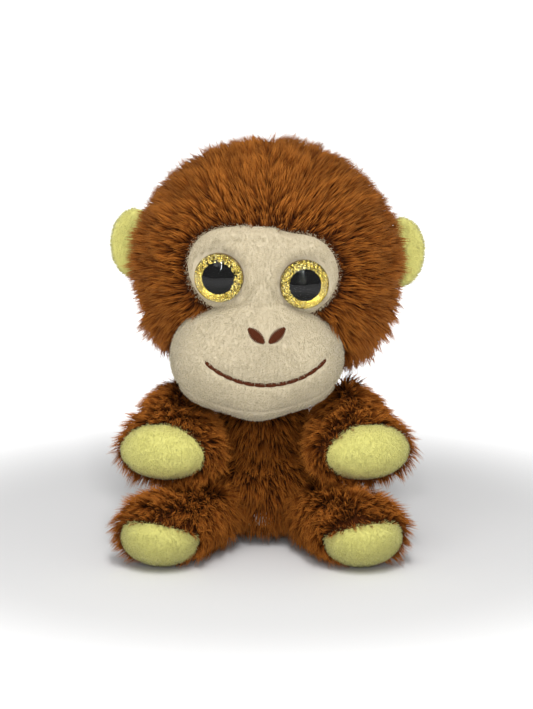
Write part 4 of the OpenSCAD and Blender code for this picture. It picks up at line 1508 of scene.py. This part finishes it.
def disc(name, radius, thick, top, vertices=64):
    bpy.ops.mesh.primitive_cylinder_add(vertices=vertices, radius=radius, depth=thick,
                                        location=(0, 0, top - thick / 2))
    piece = bpy.context.object
    piece.name = name
    settle(piece)
    bevel = piece.modifiers.new("edge", "BEVEL")
    bevel.width = 0.12 * MM
    bevel.segments = 2
    apply_all(piece)
    return piece


for side, sign in SIDES.items():
    rng = random.Random(300 + sign)
    ring = disc("ring", EYE_RADIUS - 0.2 * MM, DISC_THICK, 0, vertices=96)
    hole = disc("hole", PUPIL_RADIUS, 4 * DISC_THICK, 2 * DISC_THICK, vertices=96)
    boolean(ring, hole, "DIFFERENCE")
    drop(hole)
    layer = ring.data.uv_layers.active or ring.data.uv_layers.new(name=PILE_MAP)
    layer.name = PILE_MAP
    for loop in layer.data:
        loop.uv = (0.2 + 0.1 * loop.uv[0], 0.2 + 0.1 * loop.uv[1])
    flakes = []
    for _ in range(FLAKES):
        angle = rng.uniform(0, 2 * math.pi)
        reach = math.sqrt(rng.uniform((PUPIL_RADIUS + 0.1 * MM) ** 2, (EYE_RADIUS - 0.4 * MM) ** 2))
        bpy.ops.mesh.primitive_circle_add(vertices=6, radius=rng.uniform(0.11, 0.21) * MM, fill_type="NGON")
        flake = bpy.context.object
        flake.rotation_euler = (rng.gauss(0, 0.5), rng.gauss(0, 0.5), rng.uniform(0, math.pi))
        flake.location = (reach * math.cos(angle), reach * math.sin(angle), rng.uniform(0.04, 0.25) * MM)
        spot = (0.05 + 0.9 * rng.random(), 0.05 + 0.9 * rng.random())
        layer = flake.data.uv_layers.active or flake.data.uv_layers.new(name=PILE_MAP)
        layer.name = PILE_MAP
        for number, loop in enumerate(layer.data):
            loop.uv = (spot[0] + 0.004 * (number % 3), spot[1] + 0.004 * (number % 2))
        flakes.append(flake)
    handful = joined("handful", flakes)
    settle(handful)
    handfuls = [handful]
    for number in range(1, HANDFULS):
        more = copy_of(handful, "handful")
        more.rotation_euler = (0, 0, number * HANDFUL_TURN)
        settle(more)
        handfuls.append(more)
    flakes = handfuls
    iris = joined(side + "_glitter_ring", [ring] + flakes)
    settle(iris)
    iris.data.materials.clear()
    iris.data.materials.append(glitter)
    place_eye_piece(iris, side)
    finish_piece(iris, "head", [side + "_eye_iris"])

    pupil = disc(side + "_black_pupil", PUPIL_RADIUS + 0.05 * MM, DISC_THICK * 1.6, DISC_THICK * 0.6,
                 vertices=96)
    pupil.data.materials.append(eye_black)
    place_eye_piece(pupil, side)
    finish_piece(pupil, "head", [side + "_eye_pupil"])

    dome = ball(side + "_clear_dome", (0, 0, DOME_HEIGHT - DOME_BALL), (DOME_BALL,) * 3, segments=96)
    cut_plane(dome, (0, 0, 0.02 * MM), (0, 0, -1))
    smooth(dome)
    dome.data.materials.append(clear_dome)
    place_eye_piece(dome, side)
    finish_piece(dome, "head", [side + "_eye_dome"])
print("eyes:", FLAKES * HANDFULS, "flakes each")

# %% [markdown]
# ## Hidden parts
# The stuffing, the bag of pellets and the backs of the eyes keep their measured shape. They
# only get a finish: matted fibre, thin cloth, and moulded plastic.

# %% Finishes of the hidden parts
hidden = {
    "torso_stuffing": fibre, "head_stuffing": fibre, "muzzle_stuffing": fibre,
    "pellet_pouch": lining, "pellets": pellet_plastic,
}
for side in SIDES:
    hidden.update({f"{side}_arm_stuffing": fibre, f"{side}_leg_stuffing": fibre,
                   f"{side}_eye_post": eye_plate, f"{side}_eye_washer": washer_plastic})
for node, material in hidden.items():
    for piece in [one for one in bpy.data.objects if one.type == "MESH" and one.name == node]:
        piece.data.materials.clear()
        piece.data.materials.append(material)
        print(node, "is", material.name)

# %% Clear the shelf of tufts
for collection in tuft_shelf.values():
    for item in list(collection.objects):
        drop(item)
    bpy.data.collections.remove(collection)
